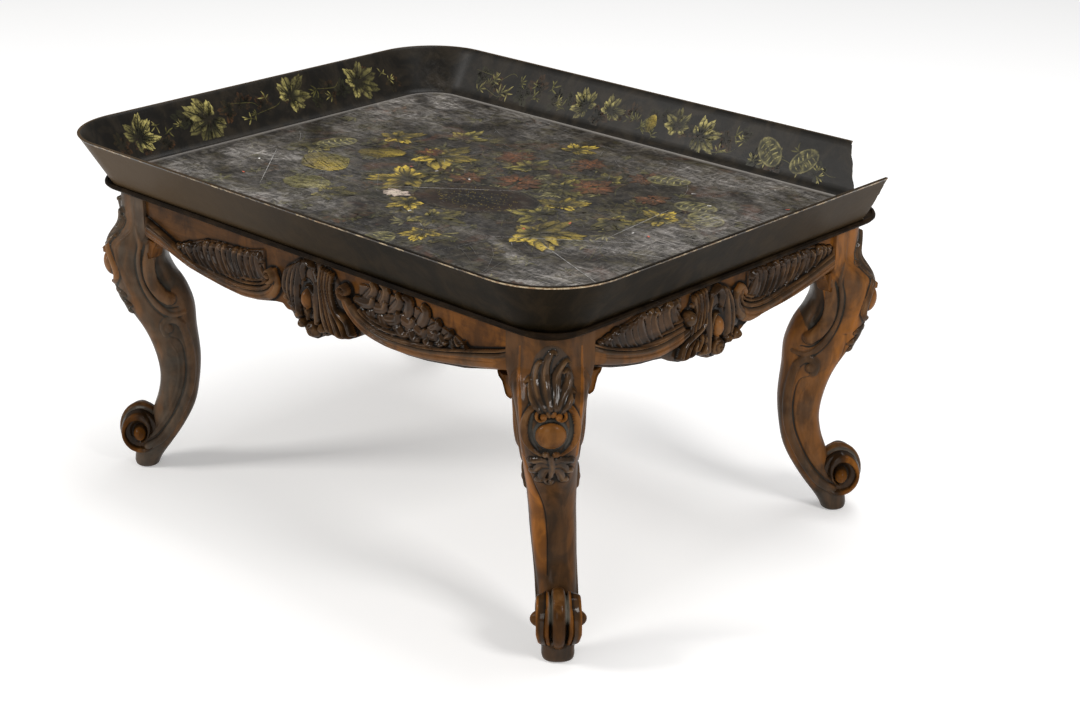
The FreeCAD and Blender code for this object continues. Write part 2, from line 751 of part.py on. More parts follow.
def make_rim(half, end, belly, cartouche_half):
    """The C-scroll rim of one half: a bead that turns up into a volute."""
    top = float(RAIL_TOP)
    radii = [float(size) / 2 for size in (D.rim_bead_post, D.rim_bead, D.rim_bead_curl)]
    path = [
        point + Vector(0, 0, radii[0] + (radii[1] - radii[0]) * drop)
        for point, (_along, drop) in zip(edge_points(half, end, belly, cartouche_half), APRON_EDGE_SHARES)
    ][:-1]
    path += [Vector(cartouche_half * u, 0, top - belly * w) for u, w in RIM_CURL_SHARES]
    curve = spline(path)
    sections = []
    for index in range(RIM_SECTIONS):
        share = index / (RIM_SECTIONS - 1)
        place_on_curve = curve.parameterAtDistance(curve.length() * share)
        if share < RIM_FULL_SHARE:
            radius = radii[0] + (radii[1] - radii[0]) * share / RIM_FULL_SHARE
        else:
            radius = radii[1] + (radii[2] - radii[1]) * (share - RIM_FULL_SHARE) / (1 - RIM_FULL_SHARE)
        centre, along = curve.value(place_on_curve), curve.tangent(place_on_curve)[0]
        across = along.cross(INWARD)
        sections.append(polygon(centre, INWARD, across, float(D.rim_rise), radius, BEAD_SIDES))
    volute = float(D.volute_diameter)
    return skin(sections).fuse(dome(path[-1], volute, volute, D.volute_rise))


def dome(centre, width, height, rise):
    """An oval button on an apron's face."""
    rings = []
    for out, across in DOME_SHARES:
        middle = centre - INWARD * (float(rise) * out)
        rings.append(polygon(middle, OUTWARD, UP, width / 2 * across, height / 2 * across, BUTTON_SIDES))
    return skin(rings)


def make_cartouche(cartouche_half, drop):
    """The raised shield in the middle, with its oval boss."""
    top = float(RAIL_TOP)
    right = [Vector(cartouche_half * u, 0, top - drop * w) for u, w in CARTOUCHE_SHARES]
    left = [Vector(-point.x, 0, point.z) for point in reversed(right)]
    wire = Part.Wire(arcs_through(right) + arcs_through(left))
    thickness, rise = float(D.apron_thickness), float(D.cartouche_rise)
    plate = Part.Face(wire).extrude(Vector(0, thickness + rise, 0))
    plate.translate(Vector(0, -rise, 0))
    centre = Vector(0, 0, top - drop * BOSS_CENTRE_SHARE)
    boss = dome(centre, float(D.boss_width), float(D.boss_height), D.boss_rise)
    return plate.fuse(boss)


def make_apron_shape(half, end_height, belly_height, drop_height, cartouche_width):
    """One apron: board, rims, cartouche and tenons."""
    half, end, belly, drop = (float(size) for size in (half, end_height, belly_height, drop_height))
    cartouche_half = float(cartouche_width) / 2
    top, thickness = float(RAIL_TOP), float(D.apron_thickness)
    right = edge_points(half, end, belly, cartouche_half)
    left = [Vector(-point.x, 0, point.z) for point in reversed(right)]
    corners = [Vector(half, 0, top), Vector(-half, 0, top)]
    board = Part.Face(
        Part.Wire(
            [
                Part.LineSegment(corners[0], right[0]).toShape(),
                *arcs_through(right),
                Part.LineSegment(right[-1], left[0]).toShape(),
                *arcs_through(left),
                Part.LineSegment(left[-1], corners[1]).toShape(),
                Part.LineSegment(corners[1], corners[0]).toShape(),
            ]
        )
    ).extrude(Vector(0, thickness, 0))
    rim = make_rim(half, end, belly, cartouche_half)
    overrun = float(D.overrun)
    between = Part.makeBox(
        2 * half, thickness + overrun, top, Vector(-half, -overrun, 0)
    )
    rims = [rim.common(between), rim.mirror(Vector(0, 0, 0), Vector(1, 0, 0)).common(between)]
    length, shoulder = float(D.tenon_length), float(D.tenon_shoulder)
    tenon_thickness = float(D.tenon_thickness)
    tenons = [
        Part.makeBox(
            length, tenon_thickness, end - 2 * shoulder,
            Vector(
                half if side > 0 else -half - length,
                (thickness - tenon_thickness) / 2,
                top - end + shoulder,
            ),
        )
        for side in (1, -1)
    ]
    apron = board.fuse(rims + [make_cartouche(cartouche_half, drop)] + tenons)
    return apron.removeSplitter()


def make_aprons():
    """The four aprons: two shapes, each turned to two sides."""
    long_shape = make_apron_shape(
        POST_INNER[0], D.long_end_height, D.long_belly_height, D.long_drop_height,
        D.long_cartouche_width,
    )
    short_shape = make_apron_shape(
        POST_INNER[1], D.short_end_height, D.short_belly_height, D.short_drop_height,
        D.short_cartouche_width,
    )
    aprons = []
    for name, shape, face, angle in (
        ("front", long_shape, (0, -1), 0),
        ("right", short_shape, (1, 0), 90),
        ("back", long_shape, (0, 1), 180),
        ("left", short_shape, (-1, 0), -90),
    ):
        middle = Vector(face[0] * float(APRON_FACE[0]), face[1] * float(APRON_FACE[1]), 0)
        placement = Placement(middle, Rotation(Vector(0, 0, 1), angle))
        aprons.append(feature(f"apron_{name}", shape.copy(), placement))
    return aprons


# Corner blocks and their screws


def screw_tools(name, seat, direction):
    """The hole that a screw fills and the counterbore that takes its head."""
    back = [seat[i] - D.block_reach * direction[i] for i in range(3)]
    bore_diameter = D.screw_head_diameter + D.counterbore_clearance * 2
    return [
        rod(f"{name}_hole", seat, D.screw_diameter, D.block_screw_length, direction),
        rod(f"{name}_bore", back, bore_diameter, D.block_reach, direction),
    ]


def make_screw(name, seat, direction):
    """A flat-headed screw whose head sits at seat and points along direction."""
    back = [seat[i] - D.screw_head_height * direction[i] for i in range(3)]
    head = rod(f"{name}_head", back, D.screw_head_diameter, D.screw_head_height, direction)
    shank = rod(f"{name}_shank", seat, D.screw_diameter, D.block_screw_length, direction)
    return fuse(name, [head, shank])


def screw_list(prefix):
    """Each screw's name, seat and direction, by corner."""
    screws = {}
    for name, (side_x, side_y) in SIDES.items():
        into_short = (
            (APRON_BACK[0] - D.block_screw_grip) * side_x,
            (POST_INNER[1] - D.block_screw_offset) * side_y,
            BLOCK_SCREW_HEIGHT,
        )
        into_long = (
            (POST_INNER[0] - D.block_screw_offset) * side_x,
            (APRON_BACK[1] - D.block_screw_grip) * side_y,
            BLOCK_SCREW_HEIGHT,
        )
        screws[name] = [
            (f"{prefix}_short_{name}", into_short, (side_x, 0, 0)),
            (f"{prefix}_long_{name}", into_long, (0, side_y, 0)),
        ]
    return screws


def make_blocks():
    """The four corner blocks, notched round their posts and bored for screws."""
    blocks = []
    for name, (side_x, side_y) in SIDES.items():
        sketch = loose_sketch(f"block_outline_{name}", BLOCK_BOTTOM)
        points = [
            (APRON_BACK[0], POST_INNER[1]),
            (APRON_BACK[0], POST_INNER[1] - D.block_reach),
            (POST_INNER[0] - D.block_reach, APRON_BACK[1]),
            (POST_INNER[0], APRON_BACK[1]),
            (POST_INNER[0], POST_INNER[1]),
        ]
        outline(sketch, [(x * side_x, y * side_y) for x, y in points])
        blank = prism(f"block_blank_{name}", sketch, D.block_height)
        tools = []
        for screw in screw_list("tool")[name]:
            tools.extend(screw_tools(*screw))
        blocks.append(cut(f"corner_block_{name}", blank, tools))
    return blocks


def make_screws():
    """The eight block screws, as a group of equal pieces."""
    screws = [make_screw(*screw) for corner in screw_list("screw").values() for screw in corner]
    return group("block_screws", screws)


def drill(thing, screws):
    """Cut the screws' own shapes out of a piece that they enter."""
    name = thing.Name
    thing.Label = f"{name}_blank"
    drilled = doc.addObject("Part::Cut", f"{name}_drilled")
    drilled.Base = thing
    drilled.Tool = screws
    drilled.Label = name
    return drilled


def main():
    """Build every piece, test it and write it."""
    wedges = make_mitre_wedges()
    nodes = [make_tray()]
    nodes += make_seat_boards(wedges)
    nodes += make_lip_mouldings(wedges)
    nodes += make_legs()
    nodes += make_blocks()
    screws = make_screws()
    nodes += [screws, group("mitre_keys", make_keys("mitre_key"))]
    nodes += [drill(apron, screws) for apron in make_aprons()]
    doc.recompute()
    for thing in doc.Objects:
        if "Invalid" in thing.State or "Error" in thing.State:
            raise RuntimeError(f"{thing.Label} failed: {thing.State}")
    os.makedirs("parts", exist_ok=True)
    for node in nodes:
        shape = node.Shape
        if shape.isNull() or not shape.isValid() or not shape.Solids:
            raise RuntimeError(f"{node.Label} has no valid solid")
    for node in nodes:
        node.Shape.exportStep(f"parts/{node.Label}.step")
        solids = node.Shape.Solids
        print(f"{node.Label}: {len(solids)} solids, {sum(solid.Volume for solid in solids):.0f} mm3")


main()
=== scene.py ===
"""The dressed model of a lacquered tray on a carved stand.

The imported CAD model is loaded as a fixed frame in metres, with +X along the
long side, +Y to the back and +Z up. The tray, legs and aprons are replaced by
finer meshes in the same places; every other node gets its material here.
Sizes in the tables below are in millimetres unless a name says otherwise.
"""

import logging
import math
from dataclasses import dataclass, field
from enum import Enum, IntEnum
from typing import Callable, Sequence

import bpy
import numpy as np
from mathutils import Matrix, Vector

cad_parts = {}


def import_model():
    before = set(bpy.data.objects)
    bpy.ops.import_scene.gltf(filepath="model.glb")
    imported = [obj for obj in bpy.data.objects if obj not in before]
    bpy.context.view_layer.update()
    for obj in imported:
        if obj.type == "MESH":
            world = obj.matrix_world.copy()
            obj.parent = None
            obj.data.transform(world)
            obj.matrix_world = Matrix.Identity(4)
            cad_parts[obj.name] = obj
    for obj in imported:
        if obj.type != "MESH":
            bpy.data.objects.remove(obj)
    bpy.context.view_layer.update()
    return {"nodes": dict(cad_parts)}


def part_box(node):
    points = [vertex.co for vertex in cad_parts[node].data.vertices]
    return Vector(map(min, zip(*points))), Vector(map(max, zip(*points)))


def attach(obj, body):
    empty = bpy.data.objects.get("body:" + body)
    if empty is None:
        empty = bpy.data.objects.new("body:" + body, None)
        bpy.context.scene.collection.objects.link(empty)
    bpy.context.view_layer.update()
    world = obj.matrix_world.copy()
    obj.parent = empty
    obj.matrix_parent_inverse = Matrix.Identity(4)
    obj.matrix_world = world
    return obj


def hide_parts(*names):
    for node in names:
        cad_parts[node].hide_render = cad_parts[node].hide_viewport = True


log = logging.getLogger("tray_on_stand")

MM = 0.001
RANDOM = np.random.default_rng(11)

Point = tuple[float, float]
Points = Sequence[Point]


# Small helpers for curves and meshes


def smooth_table(places: np.ndarray, table: Points) -> np.ndarray:
    """Read a smooth curve that passes through a table.

    Args:
        places: where to read it.
        table: rows of (place, value), in rising or falling order of place.

    Returns:
        The values at those places.
    """
    rows = np.array(sorted(table), float)
    x, y = rows[:, 0], rows[:, 1]
    slopes = np.gradient(y, x)
    places = np.clip(places, x[0], x[-1])
    index = np.clip(np.searchsorted(x, places, side="right") - 1, 0, len(x) - 2)
    step = x[index + 1] - x[index]
    t = (places - x[index]) / step
    start, end = y[index], y[index + 1]
    rise = slopes[index] * step
    fall = slopes[index + 1] * step
    return (
        start * (2 * t**3 - 3 * t**2 + 1)
        + rise * (t**3 - 2 * t**2 + t)
        + end * (3 * t**2 - 2 * t**3)
        + fall * (t**3 - t**2)
    )


def smooth_path(points: Points, count: int = 26) -> np.ndarray:
    """Sample a smooth path through a few points.

    Args:
        points: the points, at least two.
        count: how many samples to take.

    Returns:
        An array with one row of coordinates for each sample.
    """
    rows = np.array(points, float)
    if len(rows) < 3:
        return rows[0] + np.linspace(0, 1, count)[:, None] * (rows[-1] - rows[0])
    steps = np.sqrt((np.diff(rows, axis=0) ** 2).sum(1)) ** 0.5
    at = np.concatenate([[0], np.cumsum(steps)])
    wanted = np.linspace(0, at[-1], count)
    return np.stack([smooth_table(wanted, list(zip(at, rows[:, k]))) for k in range(rows.shape[1])], 1)


def smoothstep(value: np.ndarray, low: float, high: float) -> np.ndarray:
    """Ease from 0 at low to 1 at high."""
    t = np.clip((value - low) / (high - low), 0, 1)
    return t * t * (3 - 2 * t)


def spread(values: Sequence[float], along: np.ndarray) -> np.ndarray:
    """Read values that are spread evenly from 0 to 1 at places between."""
    return np.interp(along, np.linspace(0, 1, len(values)), values)


def polar(angle: np.ndarray, radius: np.ndarray | float = 1.0) -> np.ndarray:
    """Points at these angles and distances from the origin."""
    return np.stack([np.cos(angle), np.sin(angle)], -1) * np.asarray(radius)[..., None]


def left_of(path: np.ndarray) -> np.ndarray:
    """Unit vectors square to a path, on its left."""
    step = np.gradient(path, axis=-2)
    normal = np.stack([-step[..., 1], step[..., 0]], -1)
    return normal / np.maximum(np.linalg.norm(normal, axis=-1, keepdims=True), 1e-9)


def blur(grid: np.ndarray, reach: float) -> np.ndarray:
    """Blur a grid of values.

    Args:
        grid: the values.
        reach: how many cells each way the blur reaches.

    Returns:
        The blurred values.
    """
    half = max(1, int(round(reach * 2)))
    weights = np.exp(-0.5 * (np.arange(-half, half + 1) / reach) ** 2)
    weights /= weights.sum()
    for axis in (0, 1):
        padded = np.pad(grid, [(half, half) if axis == k else (0, 0) for k in (0, 1)], mode="edge")
        length = grid.shape[axis]
        grid = sum(
            weight * np.take(padded, range(shift, shift + length), axis=axis)
            for shift, weight in enumerate(weights)
        )
    return grid


def grid_quads(rows: int, columns: int, closed: bool = False, start: int = 0) -> list[list[int]]:
    """Faces over a grid of points that are stored row by row.

    Args:
        rows: how many rows it has.
        columns: how many points each row has.
        closed: whether each row runs round to its own start.
        start: number of the first point.

    Returns:
        The corners of each face.
    """
    along = np.arange(columns if closed else columns - 1)
    after = (along + 1) % columns
    base = start + np.arange(rows - 1)[:, None] * columns
    quads = np.stack(
        [base + along, base + after, base + columns + after, base + columns + along], axis=-1
    )
    return quads.reshape(-1, 4).tolist()


def tube_faces(rows: int, columns: int) -> list[list[int]]:
    """Faces of a tube of points stored ring by ring, with both ends shut."""
    first = list(range(columns))[::-1]
    last = list(range((rows - 1) * columns, rows * columns))
    return [*grid_quads(rows, columns, closed=True), first, last]


def outward(points: np.ndarray, faces: list[list[int]]) -> list[list[int]]:
    """Turn the faces of a closed skin so that their normals point out.

    Args:
        points: its points.
        faces: the corners of each face.

    Returns:
        The faces, all turned if they pointed in.
    """
    corners = np.array([face[:3] for face in faces])
    halves = np.array([(face[0], face[2], face[3]) for face in faces if len(face) == 4])
    corners = np.concatenate([corners, halves]) if len(halves) else corners
    first, second, third = (points[corners[:, k]] for k in range(3))
    volume = float((first * np.cross(second, third)).sum())
    return faces if volume > 0 else [face[::-1] for face in faces]


def make_object(
    name: str,
    points: np.ndarray,
    faces: list[list[int]],
    materials: Sequence[bpy.types.Material],
    indices: Sequence[int] | None = None,
    sharp: float = 50.0,
    **values: np.ndarray,
) -> bpy.types.Object:
    """Make a mesh object.

    Args:
        name: the object's name.
        points: vertex positions in metres.
        faces: vertex numbers of each face.
        materials: the object's materials.
        indices: which of them each face has; all the first if left out.
        sharp: edges between faces at more than this angle, in degrees, stay sharp.
        **values: numbers for each vertex, or colours where they have four columns.

    Returns:
        The new object, linked to the scene.
    """
    mesh = bpy.data.meshes.new(name)
    mesh.from_pydata(np.asarray(points, float).tolist(), [], faces)
    for key, numbers in values.items():
        if np.ndim(numbers) == 2:
            layer = mesh.attributes.new(key, "FLOAT_COLOR", "POINT")
            layer.data.foreach_set("color", np.asarray(numbers, np.float32).ravel())
        else:
            layer = mesh.attributes.new(key, "FLOAT", "POINT")
            layer.data.foreach_set("value", np.asarray(numbers, np.float32).ravel())
    for material in materials:
        mesh.materials.append(material)
    if indices is not None:
        mesh.polygons.foreach_set("material_index", np.asarray(indices, np.int32))
    mesh.polygons.foreach_set("use_smooth", np.ones(len(mesh.polygons), bool))
    mesh.set_sharp_from_angle(angle=math.radians(sharp))
    mesh.update()
    thing = bpy.data.objects.new(name, mesh)
    bpy.context.scene.collection.objects.link(thing)
    return thing


# Carving


class Form(Enum):
    """The section across a carved stroke, from its middle (0) to its edge (1)."""

    ROUND = "round"
    GOUGE = "gouge"
    SOFT = "soft"

    def section(self, x: np.ndarray) -> np.ndarray:
        """Height of the section, from 0 to 1, at a share x of its half width."""
        x = np.clip(x, 0, 1)
        if self is Form.ROUND:
            return np.sqrt(1 - x**2)
        if self is Form.GOUGE:
            return np.sqrt(1 - x**3) * (1 - 0.5 * np.exp(-((x / 0.3) ** 2)))
        return (1 - x**2) ** 2


@dataclass
class Relief:
    """A carved height over a grid of places on a face.

    Attributes:
        across: place of each point along the face.
        up: height of each point above the floor.
        ground: how warm the uncarved ground is in colour, from 0 to 1.
        height: how far each point stands out of the face.
        warm: how warm each point is in colour.
    """

    across: np.ndarray
    up: np.ndarray
    ground: float = 0.2
    height: np.ndarray = field(init=False)
    warm: np.ndarray = field(init=False)

    def __post_init__(self) -> None:
        """Start with a flat face."""
        self.height = np.zeros_like(self.across)
        self.warm = np.full_like(self.across, self.ground)

    def near(self, low: np.ndarray, high: np.ndarray) -> np.ndarray:
        """Which points lie in a rectangle."""
        return (self.across > low[0]) & (self.across < high[0]) & (self.up > low[1]) & (self.up < high[1])

    def stroke(
        self,
        points: Points,
        width: float,
        height: float,
        form: Form = Form.ROUND,
        taper: Sequence[float] = (1, 1),
        lift: float = 0.0,
        warm: float | None = None,
    ) -> None:
        """Raise a ridge along a path, or cut one where height is negative.

        Args:
            points: a few points of the path.
            width: half width of the ridge where taper is 1.
            height: its height where taper is 1.
            form: its section.
            taper: share of width and height from start to end.
            lift: height of the ground that the ridge stands on.
            warm: how warm its colour is, or None to leave it.
        """
        found = self.measure(smooth_path(points), width, taper)
        if found is None:
            return
        inside, x, along, share, _ = found
        rise = height * share**0.7 * form.section(x) + lift * np.minimum(1, (1 - x) * 5)
        old = self.height[inside]
        new = np.maximum(old, rise) if height > 0 else old + height * share * form.section(x)
        self.height[inside] = np.where(x < 1, new, old)
        if warm is not None:
            self.warm[inside] = np.where((x < 1) & (new != old), warm, self.warm[inside])

    def measure(self, path: np.ndarray, width: float, taper: Sequence[float]) -> tuple[np.ndarray, ...] | None:
        """Where points lie along and across a path.

        Args:
            path: the path's samples.
            width: half its width.
            taper: share of that from start to end.

        Returns:
            Which points are near, their distance as a share of the half
            width, their place along from 0 to 1, the taper there and their
            side; or None where none is near.
        """
        reach = width * 1.4
        inside = self.near(path.min(0) - reach, path.max(0) + reach)
        if not inside.any():
            return None
        place = np.stack([self.across[inside], self.up[inside]], 1)[:, None, :]
        start, step = path[:-1][None], np.diff(path, axis=0)[None]
        t = np.clip(((place - start) * step).sum(2) / np.maximum((step**2).sum(2), 1e-9), 0, 1)
        offset = place - start - t[..., None] * step
        apart = (offset**2).sum(2)
        nearest = apart.argmin(1)
        row = np.arange(len(nearest))
        along = (nearest + t[row, nearest]) / (len(path) - 1)
        share = spread(taper, along)
        x = np.sqrt(apart[row, nearest]) / (width * np.maximum(share, 0.05))
        way, off = step[0, nearest], offset[row, nearest]
        return inside, x, along, share, np.sign(way[:, 0] * off[:, 1] - way[:, 1] * off[:, 0])

    def lay(
        self, points: Points, width: float, height: float, lift: float, folds: float = 2.0,
        taper: Sequence[float] = (0.5, 1, 1, 0.6), warm: float | None = 0.0, tilt: float = 0.0,
    ) -> None:
        """Lay one lobe of leafage over what is there, with folds along it and a dark line round it.

        Args:
            points: a few points of its middle line, from foot to tip.
            width: its half width.
            height: how far its tip stands above the ground.
            lift: height of the ground.
            folds: how many folds it has.
            taper: share of the width from foot to tip.
            warm: how warm its colour is, or None to leave it.
            tilt: how much higher one side is than the other.
        """
        found = self.measure(smooth_path(points, 14), width, taper)
        if found is None:
            return
        inside, x, along, _, side = found
        body = np.sqrt(np.clip(1 - x**2, 0, 1))
        across = x * side
        rise = lift + height * (0.45 + 0.55 * along) * body * (1 + tilt * across)
        rise = rise + 0.13 * height * np.cos(math.pi * folds * across) * body
        old = self.height[inside]
        moat = old - 1.6 * np.clip((1.35 - x) / 0.35, 0, 1)
        self.height[inside] = np.where(x < 1, np.maximum(rise, old * 0.5), np.where(x < 1.35, moat, old))
        if warm is not None:
            self.warm[inside] = np.where(x < 1, warm, self.warm[inside])

    def dome(
        self, centre: Point, radii: Point, height: float, lift: float = 0.0, turn: float = 0.0,
        warm: float | None = None,
    ) -> None:
        """Raise an oval boss, or sink one where height is negative.

        Args:
            centre: its middle.
            radii: its radii.
            height: its height.
            lift: height of the ground that it stands on.
            turn: how far it is turned, in radians.
            warm: how warm its colour is, or None to leave it.
        """
        dx, dy = self.across - centre[0], self.up - centre[1]
        cosine, sine = math.cos(turn), math.sin(turn)
        x = ((dx * cosine + dy * sine) / radii[0]) ** 2 + ((dy * cosine - dx * sine) / radii[1]) ** 2
        rise = np.sqrt(np.clip(1 - x, 0, 1)) * abs(height)
        if height > 0:
            self.height = np.where(x < 1, np.maximum(self.height, rise + lift), self.height)
        else:
            self.height = np.where(x < 1, self.height - rise, self.height)
        if warm is not None:
            self.warm = np.where(x < 1, warm, self.warm)

    def ring(self, centre: Point, radii: Point, width: float, height: float, lift: float = 0.0) -> None:
        """Raise a bead round an oval."""
        oval = polar(np.linspace(0, 2 * math.pi, 15)) * radii + centre
        self.stroke(oval, width, height, lift=lift, warm=0.0)

    def volute(
        self, centre: Point, radius: float, height: float, start: float, hand: int, turns: float = 1.3,
        lift: float = 0.0, warm: float | None = None,
    ) -> None:
        """Raise a spiral that winds inward to a button.

        Args:
            centre: middle of the spiral.
            radius: its size.
            height: its height.
            start: angle in degrees at which its outer end lies.
            hand: 1 to wind anticlockwise, -1 to wind clockwise.
            turns: how many turns it has.
            lift: height of the ground that it stands on.
            warm: how warm its colour is, or None to leave it.
        """
        shares = np.linspace(0, 1, 14)
        angles = math.radians(start) + hand * 2 * math.pi * turns * shares
        reach = radius * (0.8 - 0.62 * shares)
        self.stroke(
            polar(angles, reach) + centre, radius * 0.24, height, taper=(1, 0.9, 0.7), lift=lift, warm=warm
        )
        self.dome(centre, (radius * 0.3, radius * 0.3), height * 1.1, lift, warm=warm)

    def curl(
        self, points: Points, width: float, height: float, lift: float, hook: float, hand: int,
        blunt: float = 0.7,
    ) -> None:
        """Lay one strand of leafage whose tip hooks over to a side.

        Args:
            points: its middle line, from the foot to the tip.
            width: its half width.
            height: its height.
            lift: height of the ground.
            hook: size of the hook at its tip.
            hand: side to which the tip hooks over, 1 or -1.
            blunt: width of its tip as a share of its own.
        """
        tip = points[-1]
        end = [(tip[0] + hand * hook * x, tip[1] + hook * z) for x, z in ((0.9, 0.35), (1.7, -0.7))]
        taper = (0.55, 0.9, 1, 0.6 + 0.5 * blunt, 0.3 + 0.7 * blunt, blunt)
        self.lay([*points, *end], width, height, lift, 2.0, taper, tilt=-0.3 * hand)

    def hollows(self, reach: float) -> np.ndarray:
        """How far each point stands above (1) or below (-1) what is round it."""
        near = self.height - blur(self.height, reach)
        far = self.height - blur(self.height, reach * 3)
        return np.clip(near * 0.55 + far * 0.2, -1, 1)


# Materials


Colour = Sequence[float]
Socket = bpy.types.NodeSocket
Value = Socket | float | Colour
Material = bpy.types.Material

# Dusty grey, which on some legs is partly a painted sheen.
DUST_AND_SHEEN_COLOUR = (0.33, 0.31, 0.26)
EVEN = (1, 1, 1)


class Graph:
    """A small builder for one material's nodes."""

    def __init__(self, name: str) -> None:
        """Start a material with this name."""
        self.material = bpy.data.materials.new(name)
        self.material.use_nodes = True
        self.tree = self.material.node_tree
        self.shader = self.tree.nodes["Principled BSDF"]
        self.place = self.node("ShaderNodeTexCoord", {}, "Object")

    def node(self, kind: str, inputs: dict, output: str | int = 0, **settings: str) -> Socket:
        """Add a node.

        Args:
            kind: its type.
            inputs: a socket or a plain value for each input that is set.
            output: which of its outputs is wanted.
            **settings: its other properties.

        Returns:
            That output.
        """
        node = self.tree.nodes.new(kind)
        for key, value in settings.items():
            setattr(node, key, value)
        for key, value in inputs.items():
            self.put(node.inputs[key], value)
        return node.outputs[output]

    def put(self, socket: Socket, value: Value) -> None:
        """Link a socket to another, or give it a plain value.

        Args:
            socket: the input that is set.
            value: the output or the plain value that it gets.
        """
        if isinstance(value, Socket):
            self.tree.links.new(value, socket)
        elif hasattr(socket.default_value, "__len__") and len(socket.default_value) == 4:
            socket.default_value = (*value, 1.0)[:4]
        else:
            socket.default_value = value

    def noise(
        self, scale: float, detail: float = 4, stretch: Colour = EVEN, warp: float = 0.0, rough: float = 0.55
    ) -> Socket:
        """Noise over the object, from 0 to 1.

        Args:
            scale: how many features a metre has.
            detail: how many finer layers it has.
            stretch: share of that scale along each axis.
            warp: how far it is warped.
            rough: strength of the finer layers.

        Returns:
            The noise.
        """
        place = self.node("ShaderNodeMapping", {"Vector": self.place, "Scale": stretch})
        inputs = {"Vector": place, "Scale": scale, "Detail": detail, "Roughness": rough, "Distortion": warp}
        return self.node("ShaderNodeTexNoise", inputs, "Fac")

    def patches(self, low: float, high: float, *noise: float | Colour) -> Socket:
        """Patches where the noise of these settings rises from low to high."""
        return self.ramp(self.noise(*noise), low, high)

    def attribute(self, name: str, output: str = "Fac") -> Socket:
        """A value that the mesh carries."""
        return self.node("ShaderNodeAttribute", {}, output, attribute_name=name)

    def ramp(self, value: Value, low: float, high: float, start: float = 0.0, end: float = 1.0) -> Socket:
        """Ease from start, where the value is low, to end, where it is high."""
        inputs = dict(enumerate((value, low, high, start, end)))
        return self.node("ShaderNodeMapRange", inputs, interpolation_type="SMOOTHSTEP")

    def math(self, operation: str, first: Value, second: Value) -> Socket:
        """The result of a sum on two values."""
        return self.node("ShaderNodeMath", {0: first, 1: second}, operation=operation)

    def times(self, first: Value, second: Value) -> Socket:
        """The product of two values."""
        return self.math("MULTIPLY", first, second)

    def plus(self, first: Value, second: Value) -> Socket:
        """The sum of two values."""
        return self.math("ADD", first, second)

    def mix(self, share: Value, first: Value, second: Value) -> Socket:
        """A colour between two others."""
        return self.node("ShaderNodeMix", {0: share, 6: first, 7: second}, 2, data_type="RGBA")

    def bump(self, height: Value, depth: float, strength: float = 1.0, under: Socket | None = None) -> Socket:
        """Bend the surface's normals.

        Args:
            height: the height that bends them.
            depth: how deep that height is, in metres.
            strength: how strongly they bend.
            under: normals that are bent already.

        Returns:
            The normals.
        """
        inputs = {"Height": height, "Distance": depth, "Strength": strength}
        if under is not None:
            inputs["Normal"] = under
        return self.node("ShaderNodeBump", inputs, "Normal")

    def finish(
        self, colour: Value, roughness: Value, normal: Socket | None = None, coat: Value = 0.0,
        coat_roughness: float = 0.2, metal: float = 0.0, specular: float = 0.5,
    ) -> Material:
        """Set the shader.

        Args:
            colour: base colour.
            roughness: roughness of the base.
            normal: bent normals.
            coat: weight of the coat.
            coat_roughness: roughness of the coat.
            metal: 1 for metal.
            specular: specular level.

        Returns:
            The finished material.
        """
        inputs = self.shader.inputs
        self.put(inputs["Base Color"], colour)
        self.put(inputs["Roughness"], roughness)
        self.put(inputs["Coat Weight"], coat)
        inputs["Metallic"].default_value = metal
        inputs["Specular IOR Level"].default_value = specular
        inputs["Coat Roughness"].default_value = coat_roughness
        if normal is not None:
            self.put(inputs["Normal"], normal)
        return self.material


